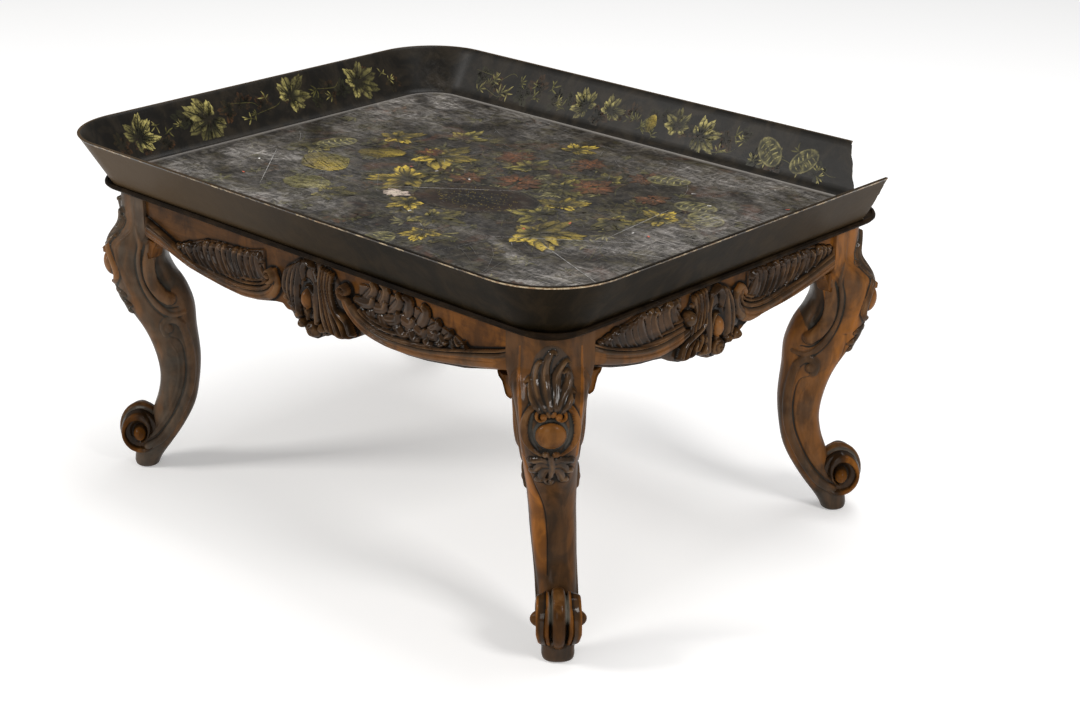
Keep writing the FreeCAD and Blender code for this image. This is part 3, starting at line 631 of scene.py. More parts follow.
@dataclass(frozen=True)
class WoodFinish:
    """Colours and gloss of a wood.

    Attributes:
        recess: colour in the hollows.
        ground: main colour.
        light: colour of the lighter grain.
        warm: colour of the stretches that took less stain.
        worn: colour where it is rubbed.
        roughness: mean roughness.
        coat: weight of the wax or varnish.
        wear: how much of the high places is rubbed, from 0 to 1.
        specular: how strongly the bare wood mirrors.
        polish: weight of the wax that dark carving holds above that.
    """

    recess: Colour
    ground: Colour
    light: Colour
    warm: Colour
    worn: Colour
    roughness: float
    coat: float
    wear: float
    specular: float = 0.03
    polish: float = 0.0

    def material(self, name: str, grain: Colour = (1, 1, 0.12), scale: float = 90.0) -> Material:
        """Make a grained wood that darkens in its hollows and is rubbed on its high places.

        Args:
            name: the material's name.
            grain: how fine the grain is along each axis.
            scale: how many streaks a metre has.

        Returns:
            The material.
        """
        graph = Graph(name)
        hollow, warm = graph.attribute("hollow"), graph.attribute("warm")
        streaks = graph.noise(scale, 6, grain, 0.6)
        stains = graph.noise(38, 4, (1, 1, 0.5), 0.8)
        fine = graph.noise(900, 3, grain)
        colour = graph.mix(graph.ramp(streaks, 0.35, 0.7), self.ground, self.light)
        warmth = graph.times(warm, graph.ramp(graph.noise(11, 4, (1, 1, 0.6), 0.5), 0.3, 0.62, 0.5))
        warmth = graph.times(warmth, graph.ramp(streaks, 0.25, 0.6, 0.6))
        colour = graph.mix(warmth, colour, self.warm)
        rubbed = graph.times(graph.ramp(hollow, 0.25, 1.0), graph.ramp(stains, 0.42, 0.62))
        colour = graph.mix(graph.times(rubbed, self.wear), colour, self.worn)
        colour = graph.mix(graph.times(graph.ramp(stains, 0.58, 0.36), 0.55), colour, self.recess)
        colour = graph.mix(graph.ramp(hollow, -0.12, -0.8), colour, self.recess)
        # Dusty grey; on some legs it is partly a painted sheen.
        dust = graph.times(graph.attribute("dust"), graph.ramp(graph.noise(55, 6), 0.3, 0.7, 0.5))
        colour = graph.mix(dust, colour, DUST_AND_SHEEN_COLOUR)
        roughness = graph.plus(graph.times(fine, 0.18), self.roughness - 0.06)
        roughness = graph.plus(roughness, graph.ramp(hollow, 0.0, -0.6, 0.0, 0.25))
        roughness = graph.plus(roughness, graph.times(dust, 0.4))
        normal = graph.bump(streaks, 0.0006, 0.5)
        normal = graph.bump(fine, 0.00015, 0.5, normal)
        normal = graph.bump(stains, 0.0015, 0.3, normal)
        coat = self.coat
        if self.polish:
            coat = graph.plus(graph.times(graph.ramp(warm, 0.08, 0.0), self.polish), coat)
        return graph.finish(colour, roughness, normal, coat, 0.1, specular=self.specular)


WALNUT = WoodFinish(
    (0.006, 0.004, 0.0025), (0.029, 0.0145, 0.0055), (0.055, 0.026, 0.0095), (0.25, 0.084, 0.008),
    (0.17, 0.09, 0.035), 0.34, 0.07, 0.42, polish=0.22,
)
EBONISED = WoodFinish(
    (0.003, 0.0022, 0.0015), (0.008, 0.005, 0.003), (0.02, 0.012, 0.006), (0.06, 0.032, 0.012),
    (0.12, 0.065, 0.025), 0.45, 0.0, 0.35, 0.02,
)
PINE = WoodFinish(
    (0.08, 0.045, 0.02), (0.27, 0.17, 0.085), (0.38, 0.25, 0.13), (0.3, 0.19, 0.1), (0.45, 0.32, 0.18), 0.62,
    0.0, 0.3
)


@dataclass(frozen=True)
class LacquerFinish:
    """Colours and gloss of a lacquered face.

    Attributes:
        ground: main colour.
        cloud: colour of its faint clouds.
        haze: colour of the whitish blooming and painted sheen on it.
        haze_share: how strong that haze is.
        roughness: mean roughness.
        specular: how strongly it mirrors.
        coat: weight of the varnish.
        painted_sheen: colour of a painted sheen that grows with the distance from its front corner.
        mottles: for each kind of mottle, its share, range, colour and noise.
    """

    ground: Colour
    cloud: Colour
    haze: Colour
    haze_share: float
    roughness: float
    specular: float
    coat: float = 0.03
    painted_sheen: Colour | None = None
    mottles: Sequence[tuple[float, float, float, Colour, tuple]] = ()

    FRONT_CORNER = (0.4, -0.3, 0.4)
    GRAIN = (
        (0.5, 0.42, 0.68, (70, 7, (0.4, 1, 1), 1.8, 0.65)),
        (0.5, 0.48, 0.7, (210, 6, (1, 0.25, 1), 0.8, 0.7)),
        (0.5, 0.56, 0.72, (700, 3)),
        (0.55, 0.6, 0.68, (160, 3, (0.09, 1, 1), 3.0, 0.6)),
    )

    def bloom(self, graph: Graph) -> Socket:
        """The whitish blooming and painted sheen, and the scuffs, on the lacquer, from 0 to 1.

        Args:
            graph: where the nodes go.

        Returns:
            The blooming, painted sheen and scuffs.
        """
        grain = 0.09
        for share, low, high, noise in self.GRAIN:
            grain = graph.plus(graph.times(graph.patches(low, high, *noise), share), grain)
        # The mesh's bloom attribute holds real blooming, a painted sheen on the floor and a painted highlight in
        # the inner back corner.
        clouds = graph.times(graph.patches(0.3, 0.7, 8, 5, (1, 1.4, 1), 1.2), graph.attribute("bloom"))
        bloom = graph.math("MAXIMUM", graph.times(clouds, grain), graph.attribute("scuff"))
        return graph.math("MINIMUM", bloom, 1.0)

    def clean(self, graph: Graph) -> Socket:
        """The lacquer's colour, with the painted sheen that some faces have, under the whitish blooming.

        Args:
            graph: where the nodes go.

        Returns:
            The colour.
        """
        colour = graph.mix(graph.patches(0.38, 0.68, 26, 6, EVEN, 1.2, 0.62), self.ground, self.cloud)
        for share, low, high, tint, noise in self.mottles:
            colour = graph.mix(graph.times(graph.patches(low, high, *noise), share), colour, tint)
        # Painted sheen: lighter brown that grows with the distance from the front corner.
        if self.painted_sheen is not None:
            inputs = {0: graph.place, 1: self.FRONT_CORNER}
            away = graph.node("ShaderNodeVectorMath", inputs, "Value", operation="DISTANCE")
            colour = graph.mix(graph.ramp(away, 0.2, 0.85), colour, self.painted_sheen)
        return colour

    def glaze(self, graph: Graph, colour: Value, bloom: Socket) -> Material:
        """Finish the face with its uneven gloss.

        Args:
            graph: where the nodes go.
            colour: the face's colour.
            bloom: the whitish blooming and painted sheen that dull it.

        Returns:
            The finished material.
        """
        roughness = graph.plus(graph.times(bloom, 0.3), self.roughness)
        normal = graph.bump(graph.noise(22, 3), 0.0012, 0.35)
        normal = graph.bump(graph.noise(420, 3, (1, 0.2, 1)), 0.0001, 0.35, normal)
        return graph.finish(colour, roughness, normal, self.coat, specular=self.specular)

    def material(self, name: str) -> Material:
        """Make the lacquer with its clouds, whitish blooming with painted sheen, and fine scratches."""
        graph = Graph(name)
        bloom = self.bloom(graph)
        return self.glaze(
            graph, graph.mix(graph.times(bloom, self.haze_share), self.clean(graph), self.haze), bloom
        )


# The outer wall's last colour is a painted sheen: lighter brown away from the front corner.
OUTSIDE = LacquerFinish(
    (0.007, 0.005, 0.0025), (0.016, 0.0105, 0.005), (0.2, 0.16, 0.11), 0.02, 0.38, 0.025, 0.0,
    (0.068, 0.044, 0.023)
)
INSIDE = LacquerFinish((0.009, 0.008, 0.0065), (0.024, 0.019, 0.013), (0.24, 0.22, 0.2), 0.2, 0.36, 0.12)
# The floor's whitish haze is real blooming together with a painted sheen.
FLOOR = LacquerFinish(
    (0.009, 0.0075, 0.0065), (0.030, 0.024, 0.017), (0.52, 0.485, 0.45), 0.9, 0.36, 0.12,
    mottles=(
        (0.4, 0.5, 0.66, (0.075, 0.062, 0.022), (19, 6, (0.8, 1.2, 1), 2.2, 0.65)),
        (0.5, 0.56, 0.7, (0.1, 0.036, 0.017), (13, 5, EVEN, 1.4)),
        (0.34, 0.47, 0.66, (0.16, 0.14, 0.11), (95, 7, (0.35, 1, 1), 2.5, 0.72)),
        (0.6, 0.47, 0.6, (0.006, 0.005, 0.005), (60, 6, (1, 0.7, 1), 1.5, 0.7)),
    ),
)


class WornPaint:
    """Thin old paint over the lacquer, broken up by rubbing, under the whitish blooming and painted sheen."""

    def material(self, name: str) -> Material:
        """Make the paint, in the colour that each stroke carries."""
        graph = Graph(name)
        strength = graph.times(
            graph.attribute("cover"), graph.ramp(graph.noise(75, 5, EVEN, 0.8), 0.3, 0.55, 0.3)
        )
        strength = graph.times(strength, graph.ramp(graph.noise(330, 4), 0.36, 0.5, 0.4))
        under = graph.mix(graph.attribute("wall"), FLOOR.clean(graph), INSIDE.clean(graph))
        colour = graph.mix(strength, under, graph.attribute("tint", "Color"))
        # Whitish haze over the paint: blooming and painted sheen.
        bloom = FLOOR.bloom(graph)
        colour = graph.mix(graph.times(bloom, graph.attribute("haze_share")), colour, FLOOR.haze)
        return FLOOR.glaze(graph, colour, bloom)


@dataclass(frozen=True)
class GiltFinish:
    """A worn line of old gold over black.

    Attributes:
        black: colour where the gold is gone.
        bronze: colour of the dull gold.
        gold: colour of the brighter gold.
    """

    black: Colour = (0.016, 0.011, 0.007)
    bronze: Colour = (0.2, 0.11, 0.04)
    gold: Colour = (0.42, 0.33, 0.2)

    def material(self, name: str) -> Material:
        """Make the gilding, worn as the mesh says."""
        graph = Graph(name)
        chips = graph.noise(75, 6, EVEN, 0.6, 0.65)
        share = graph.ramp(graph.plus(chips, graph.attribute("gilt")), 0.5, 0.66)
        colour = graph.mix(graph.patches(0.4, 0.6, 240, 4), self.bronze, self.gold)
        return graph.finish(graph.mix(share, self.black, colour), 0.42, graph.bump(chips, 0.0003, 0.6))


@dataclass(frozen=True)
class PlainFinish:
    """A simple aged surface of two close colours.

    Attributes:
        colour: main colour.
        spot: colour of its specks.
        roughness: mean roughness.
        scale: how many specks a metre has.
        metal: 1 for metal.
        depth: how deep the specks are, in metres.
    """

    colour: Colour
    spot: Colour
    roughness: float
    scale: float
    metal: float = 0.0
    depth: float = 0.0002

    def material(self, name: str) -> Material:
        """Make the speckled surface."""
        graph = Graph(name)
        specks = graph.noise(self.scale, 5, EVEN, 0.5)
        colour = graph.mix(graph.ramp(specks, 0.38, 0.66), self.colour, self.spot)
        roughness = graph.plus(graph.times(specks, 0.25), self.roughness - 0.1)
        return graph.finish(colour, roughness, graph.bump(specks, self.depth, 0.6), metal=self.metal)


PULP = PlainFinish((0.05, 0.04, 0.03), (0.3, 0.24, 0.17), 0.9, 500, depth=0.001)
STEEL = PlainFinish((0.33, 0.31, 0.28), (0.16, 0.11, 0.07), 0.42, 900, 0.9)


def make_materials() -> dict[str, Material]:
    """Make every material of the scene, each under the name of what it covers."""
    return {
        "carving": WALNUT.material("walnut_carved"),
        "rail_long": WALNUT.material("walnut_rail_long", (0.12, 1, 1)),
        "rail_short": WALNUT.material("walnut_rail_short", (1, 0.12, 1)),
        "moulding": EBONISED.material("ebonised", (0.3, 0.3, 1), 140),
        "board_long": PINE.material("pine_long", (0.06, 1, 1), 120),
        "board_short": PINE.material("pine_short", (1, 0.06, 1), 120),
        "outside": OUTSIDE.material("lacquer_outside"),
        "inside": INSIDE.material("lacquer_inside"),
        "floor": FLOOR.material("lacquer_floor"),
        "rim": GiltFinish().material("rim_worn_gilt"),
        "core": PULP.material("pulp_core"),
        "paint": WornPaint().material("worn_paint"),
        "screws": STEEL.material("dull_steel"),
    }


# Aprons


@dataclass(frozen=True)
class HalfPattern:
    """The carving of one half of an apron.

    Attributes:
        rim: middle of the C-scroll rim, from the post to its volute.
        rim_widths: its half width from start to end.
        panel: top of the leaf panel.
        volute: middle of the volute in which the rim ends.
        strands: how many leaf strands the panel has.
        lean: how far each strand's foot lies along the apron from its tip.
        ruffled: whether the panel has overlapping lobes in place of strands.
        button: radius of a smooth ball at the rim's end, 0 for a spiral and
            -1 for neither.
    """

    rim: Points
    rim_widths: Sequence[float]
    panel: Points
    volute: Point
    strands: int
    lean: float
    ruffled: bool = False
    button: float = 0.0


@dataclass(frozen=True)
class ApronPattern:
    """The outline and carving of one kind of apron.

    Attributes:
        lower: the lower edge, from left to right.
        left: carving left of the cartouche.
        right: carving right of it.
        boss: middle of the oval boss.
        rosettes: middle and size of each rosette at the foot.
        fan: foot of each rib of the fan.
        fan_top: where the fan's first rib starts.
        bands: how many bands lie on the fan's other side.
    """

    lower: Points
    left: HalfPattern
    right: HalfPattern
    boss: Point
    rosettes: Sequence[tuple[float, float, float]]
    fan: Points
    fan_top: Point
    bands: int = 4


LONG_PATTERN = ApronPattern(
    lower=[
        (-290, 308), (-242, 298), (-210, 288), (-175, 283), (-147, 280), (-118, 278), (-90, 281), (-62, 287),
        (-51, 288), (-44, 283), (-35, 283), (-31, 276), (-19, 276), (-14, 266), (-6, 261), (6, 262),
        (14, 268),
        (21, 269), (34, 275), (46, 273), (56, 275), (69, 281), (80, 288), (94, 286), (119, 283), (148, 283),
        (176, 285), (203, 289), (230, 293), (253, 299), (290, 308),
    ],
    left=HalfPattern(
        rim=[(-314, 325), (-250, 307), (-209, 293), (-175, 288), (-141, 285), (-108, 285), (-80, 290),
             (-63, 299), (-56, 311), (-60, 322)],
        rim_widths=(12, 9, 6.5, 6, 6.5, 7, 6.5, 5),
        panel=[(-232, 310), (-206, 322), (-186, 329), (-162, 334), (-124, 336), (-100, 339), (-77, 345)],
        volute=(-65, 318), strands=15, lean=17,
    ),
    right=HalfPattern(
        rim=[(314, 323), (253, 309), (206, 299), (178, 294), (148, 291), (119, 290), (97, 293), (75, 301),
             (58, 314), (50, 329)],
        rim_widths=(12, 9.5, 7.5, 7, 7, 7, 6.5, 5.5),
        panel=[(238, 318), (223, 325), (200, 331), (181, 336), (161, 341), (130, 345), (101, 346), (76, 345)],
        volute=(57, 331), strands=8, lean=-8, ruffled=True,
    ),
    boss=(-3, 307),
    rosettes=[(3, 273, 9.5), (-13, 277, 6), (19, 279, 5.5)],
    fan=[(30, 280), (38, 277), (47, 276), (56, 279), (65, 285)],
    fan_top=(22, 345),
)
SHORT_PATTERN = ApronPattern(
    lower=[
        (-200, 313), (-191, 309), (-169, 302), (-148, 297), (-126, 293), (-105, 291), (-92, 289), (-81, 283),
        (-65, 277), (-54, 277), (-42, 281), (-30, 273), (-18, 268), (-6, 267), (1, 273), (13, 278), (25, 277),
        (34, 283), (48, 291), (60, 294), (81, 296), (101, 297), (122, 299), (144, 302), (170, 307),
        (200, 314),
    ],
    left=HalfPattern(
        rim=[
            (-220, 332), (-170, 314), (-134, 305), (-104, 302), (-80, 304), (-60, 308), (-45, 316), (-41, 327),
            (-48, 335),
        ],
        rim_widths=(11, 9, 8, 8, 8.5, 8.5, 7, 5, 4),
        panel=[(-190, 338), (-170, 343), (-149, 346), (-121, 351), (-99, 351), (-66, 351)],
        volute=(-55, 323), strands=12, lean=13, button=8.5,
    ),
    right=HalfPattern(
        rim=[
            (220, 330), (170, 317), (129, 308), (104, 304), (80, 300), (56, 299), (36, 304), (23, 315), (22, 328),
            (31, 335), (38, 328),
        ],
        rim_widths=(10, 9, 8, 8, 8.5, 9, 9, 8.5, 7, 5.5, 4.5),
        panel=[(190, 340), (174, 346), (148, 351), (118, 351), (60, 351), (44, 351)],
        volute=(34, 328), strands=15, lean=-14, button=-1,
    ),
    boss=(-9, 303),
    rosettes=[(-7, 279, 10), (24, 284, 7), (9, 284, 5)],
    fan=[(-68, 284), (-60, 281), (-51, 281), (-42, 285), (-31, 279)],
    fan_top=(-33, 346),
    bands=2,
)


def height_along(line: np.ndarray) -> Callable[[np.ndarray], np.ndarray]:
    """A function that reads a line's height at places along the apron."""
    line = line[np.argsort(line[:, 0])]
    return lambda across: np.interp(across, line[:, 0], line[:, 1])


def stepped(origin: Point, side: int, *steps: Point) -> list[Point]:
    """Points at these steps from an origin, with x counted toward a side."""
    return [(origin[0] + side * x, origin[1] + z) for x, z in steps]


def carve_half(relief: Relief, half: HalfPattern) -> None:
    """Carve the rim, the ridges beside it and the leaf panel of one half.

    Args:
        relief: the apron's face.
        half: what is carved on it.
    """
    side = 1 if half.rim[0][0] > 0 else -1
    samples, before_volute = 60, 48
    path = smooth_path(half.rim, samples)
    widths = spread(half.rim_widths, np.linspace(0, 1, samples))[:, None]
    normals = left_of(path) * -side
    inner = path + normals * widths
    top_at, rim_at = height_along(smooth_path(half.panel, samples)), height_along(inner[:before_volute])
    ends = sorted((half.panel[0][0], half.panel[-1][0]))
    ground = (relief.across > ends[0]) & (relief.across < ends[1]) & (relief.up < top_at(relief.across) - 1.5)
    relief.height = np.where(ground, relief.height + 2.4, relief.height)
    relief.warm = np.where(ground, 0.0, relief.warm)
    low, high = half.panel[0][0], half.panel[-1][0] + side * 4
    if half.ruffled:
        carve_lobes(relief, half, low, high, top_at, rim_at)
    else:
        carve_strands(relief, half, low, high, top_at, rim_at)
    for step, (start, size, tall) in enumerate(((20, 1.9, 7.8), (29, 1.8, 7.4), (36, 1.6, 7.0))):
        line = (inner + normals * (2.4 + 4.2 * step))[start:54 - 2 * step:3]
        relief.stroke(line, size, tall, taper=(0.4, 1, 1, 0.9), warm=0.2)
    top_width = max(half.rim_widths)
    taper = [width / top_width for width in half.rim_widths]
    relief.stroke(half.rim, top_width, 11.5, taper=taper, warm=0.6 if half.ruffled else 0.44)
    relief.stroke((path + normals * widths * 0.55)[::4], top_width * 0.42, 11.0, taper=taper, warm=0.1)
    relief.stroke((path + normals * widths * 0.12)[::4], 1.3, -1.4, Form.SOFT, (0.3, 1, 1, 1))
    relief.stroke((path + normals * (widths + 0.4))[::4], 1.5, 8.8, warm=0.25)
    if half.button > 0:
        relief.ring(half.volute, (half.button * 1.1, half.button * 1.1), 1.8, -3.5)
        relief.dome(half.volute, (half.button, half.button), 9.5, 3.2, warm=0.3)
    elif half.button == 0:
        relief.volute(half.volute, 10, 12.5, -90, -side, warm=0.3)


def carve_strands(
    relief: Relief, half: HalfPattern, low: float, high: float, top_at: Callable, rim_at: Callable
) -> None:
    """Carve a panel of leaf strands that hook over at their tips.

    Args:
        relief: the apron's face.
        half: what is carved on it.
        low: where the panel starts along the apron.
        high: where it ends.
        top_at: height of its top at a place along the apron.
        rim_at: height of the rim under it.
    """
    pitch = abs(high - low) / half.strands
    hand = 1 if half.lean > 0 else -1
    for number in range(half.strands):
        across = low + (high - low) * (number + 0.5) / half.strands + RANDOM.normal(0, pitch * 0.11)
        top = float(top_at(across)) - 1.5 - abs(RANDOM.normal(0, 1.6))
        tall = max(top - float(rim_at(across + half.lean * 0.5)), 6)
        lean = half.lean * min(1.0, tall / 34)
        hook = min(pitch * 0.42, tall * 0.17)
        points = [
            (across + lean * 1.25, top - 1.05 * tall), (across + lean * 0.85, top - 0.9 * tall),
            (across + lean * 0.3 - hand * 1.6, top - 0.6 * tall), (across - hand * 2.6, top - 0.26 * tall),
            (across - hand * 1.2, top - hook),
        ]
        width, height = pitch * RANDOM.uniform(0.52, 0.74), RANDOM.uniform(2.8, 5.4)
        relief.curl(points, width, height, 2.2, hook, hand, blunt=0.5)


def carve_lobes(
    relief: Relief, half: HalfPattern, low: float, high: float, top_at: Callable, rim_at: Callable
) -> None:
    """Carve a panel of ruffled lobes that overlap like a twisted wreath.

    Args:
        relief: the apron's face.
        half: what is carved on it.
        low: where the panel starts along the apron.
        high: where it ends.
        top_at: height of its top at a place along the apron.
        rim_at: height of the rim under it.
    """
    count = half.strands * 3
    side = 1 if high > low else -1
    for number in range(count):
        across = low + (high - low) * (number + 0.6) / count + RANDOM.normal(0, 1.2)
        top, base = float(top_at(across)), float(rim_at(across)) + 2
        tall = max(top - base, 8)
        level = (0.3, 0.72, 0.5)[number % 3] + RANDOM.normal(0, 0.05)
        size = tall * RANDOM.uniform(0.26, 0.34)
        angle = math.radians((-62, 48, -8)[number % 3] + RANDOM.normal(0, 16))
        x, z = math.cos(angle) * size * -side, math.sin(angle) * size
        points = stepped(
            (across, base + tall * level), 1, (-x, -z), (z * 0.25, -x * 0.12), (x, z),
            (x * 1.2 - z * 0.5, z * 1.1 + abs(x) * 0.4),
        )
        height, tilt = RANDOM.uniform(2.8, 4.4), RANDOM.uniform(-0.3, 0.3)
        relief.lay(points, min(size * 0.62, 6.5), height, 2.4, 1.7, (0.6, 1, 0.9, 0.55), 0.0, tilt)
        relief.dome(points[-1], (size * 0.22, size * 0.2), 3.2, 2.4, warm=0.0)


def carve_cartouche(relief: Relief, pattern: ApronPattern) -> None:
    """Carve the middle of an apron: fan, crest, boss and rosettes.

    Args:
        relief: the apron's face.
        pattern: what is carved on it.
    """
    boss, top = pattern.boss, pattern.fan_top
    side = 1 if top[0] > 0 else -1
    relief.dome((boss[0] + 8 * side, boss[1] + 2), (50, 44), 4.4, warm=0.0)
    for number, foot in reversed(list(enumerate(pattern.fan))):
        start = (top[0] - side * (3 - 4.2 * number), top[1] + 2 - number)
        line = stepped(start, side, (0, 0), (-2.5, -16), (0.5 + number * 1.2, -38))
        line += stepped(foot, side, (-7, 12), (0, 0))
        odd = number % 2
        relief.lay(line, 4.9, 6.4 - 0.5 * odd, 3.4, 0.7, (0.45, 0.6, 0.75, 1.0, 0.9), 0.08 * odd, 0.35 * side)
    for number in reversed(range(pattern.bands)):
        foot = -23 + 5.5 * number
        line = stepped(
            (boss[0] - side * (15 + 6.2 * number), boss[1]), side, (3 + 2.4 * number, 38 - 2.5 * number),
            (-0.5, 22),
            (-2.5, 3), (1 + number, foot + 4), (4 + 1.5 * number, foot - 3), (-1.5, foot + 0.5),
        )
        relief.lay(line[:-1], 4.6, 5.8, 3.4, 0.7, (0.5, 0.85, 1.0, 0.9, 0.6), 0.0, -0.35 * side)
        relief.dome(line[-1], (4.0, 3.8), 5.0, 4, warm=0.3)
    crest = stepped(boss, side, (-7, 20), (-8, 32), (-1, 41), (8, 38), (10, 30))
    relief.lay(crest, 4.6, 5.5, 4.0, 1.6, (0.7, 1, 1, 0.8, 0.6))
    border = stepped(boss, side, (9, 34), (14, 20), (13.5, 2), (15, -24))
    relief.lay(border, 4.4, 5.2, 4.0, 1.6, (0.7, 1, 1, 0.9))
    relief.dome((boss[0], boss[1] + 3), (12, 21), -4, warm=0.0)
    hood = stepped(boss, side, (9, -8), (10, 6), (4, 15), (-4, 13))
    relief.stroke(hood, 2.2, 5.5, Form.ROUND, (0.6, 1, 1, 0.6), 3, 0.0)
    relief.dome(boss, (7.2, 11.5), 9.5, 3.2, warm=1.0)
    relief.stroke(stepped(boss, 1, (0, -14), (-1, -24)), 3.4, 6, Form.GOUGE, (1, 0.5), 4, 0.1)
    for across, up, size in pattern.rosettes:
        middle = (across, up)
        relief.ring(middle, (size * 1.05, size * 1.05), 1.6, -3.0)
        relief.dome(middle, (size, size), 9.0, 2.5, warm=0.04)
        for reach, start in ((0.62, 0.6), (0.3, 3.4)):
            petal = polar(start + 0.7 * np.arange(7), size * reach) + middle
            relief.stroke(petal, size * 0.13, -2.4, Form.SOFT, (0.3, 1, 1, 0.3))
        relief.dome((across - size * 0.08, up + size * 0.1), (size * 0.2, size * 0.2), -2.5)


@dataclass
class Apron:
    """One carved apron.

    Attributes:
        node: the CAD node that it replaces.
        pattern: its outline and carving.
        half: half its length between the posts.
        face: distance of its plain face from the middle of the stand.
        top: height of its upper edge.
        turn: direction of its face, in degrees from -Y.
        warm: how warm its plain ground is at its left and right ends.
    """

    node: str
    pattern: ApronPattern
    half: float
    face: float
    top: float
    turn: float
    warm: Point = (0.1, 0.5)

    THICKNESS = 22.0

    def build(self, material: Material) -> bpy.types.Object:
        """Make the carved board.

        Args:
            material: the wood that it has.

        Returns:
            The board.
        """
        pitch = 0.8
        across = np.linspace(-self.half, self.half, int(2 * self.half / pitch))
        lower = np.interp(across, *zip(*self.pattern.lower))
        lower = blur(lower[None, :].repeat(3, 0), 1.6)[1]
        rows = int(90 / pitch)
        share = np.linspace(0, 1, rows)[:, None]
        up = lower + share * (self.top - lower)
        relief = Relief(np.broadcast_to(across, up.shape).copy(), up)
        relief.warm = np.interp(relief.across, (-self.half, self.half), self.warm)
        carve_half(relief, self.pattern.left)
        carve_half(relief, self.pattern.right)
        carve_cartouche(relief, self.pattern)
        relief.height = blur(relief.height, 0.6)
        edge = np.clip((up - lower) / 5.0, 0, 1) ** 0.5
        ends = 0.2 + 0.8 * smoothstep(self.half - np.abs(relief.across), 5, 18)
        height = np.minimum(relief.height, 13) * edge * ends
        hollow = relief.hollows(2.2 / pitch)
        warm = blur(relief.warm, 0.8)
        dust = 0.065 * smoothstep(relief.height, 3, 5) * (relief.warm > 0.09)
        count = len(across)
        front = np.stack([relief.across, -height, up], -1).reshape(-1, 3)
        back_low = np.stack([across, np.full(count, self.THICKNESS), lower], 1)
        back_high = np.stack([across, np.full(count, self.THICKNESS), np.full(count, self.top)], 1)
        points = np.concatenate([front, back_low, back_high])
        faces = grid_quads(rows, count)
        low, high = rows * count, rows * count + count
        top_row = (rows - 1) * count
        strips = ((0, low), (low, high), (high, top_row))
        faces += [[a + n + 1, a + n, b + n, b + n + 1] for n in range(count - 1) for a, b in strips]
        faces.append([row * count for row in range(rows)][::-1] + [low, high])
        faces.append([row * count + count - 1 for row in range(rows)] + [high + count - 1, low + count - 1])
        turn = Matrix.Rotation(math.radians(self.turn), 3, "Z")
        place = np.array([(turn @ Vector((0, -self.face, 0)))[:]])
        points = points @ np.array(turn).T + place
        hollow = np.concatenate([hollow.ravel(), np.full(2 * count, -0.1)])
        warm = np.concatenate([warm.ravel(), np.full(2 * count, 0.3)])
        dust = np.concatenate([dust.ravel(), np.zeros(2 * count)])
        faces = outward(points, faces)
        board = make_object(
            f"{self.node}_carved", points * MM, faces, [material], hollow=hollow, warm=warm, dust=dust
        )
        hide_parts(self.node)
        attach(board, "stand")
        return board


# Legs


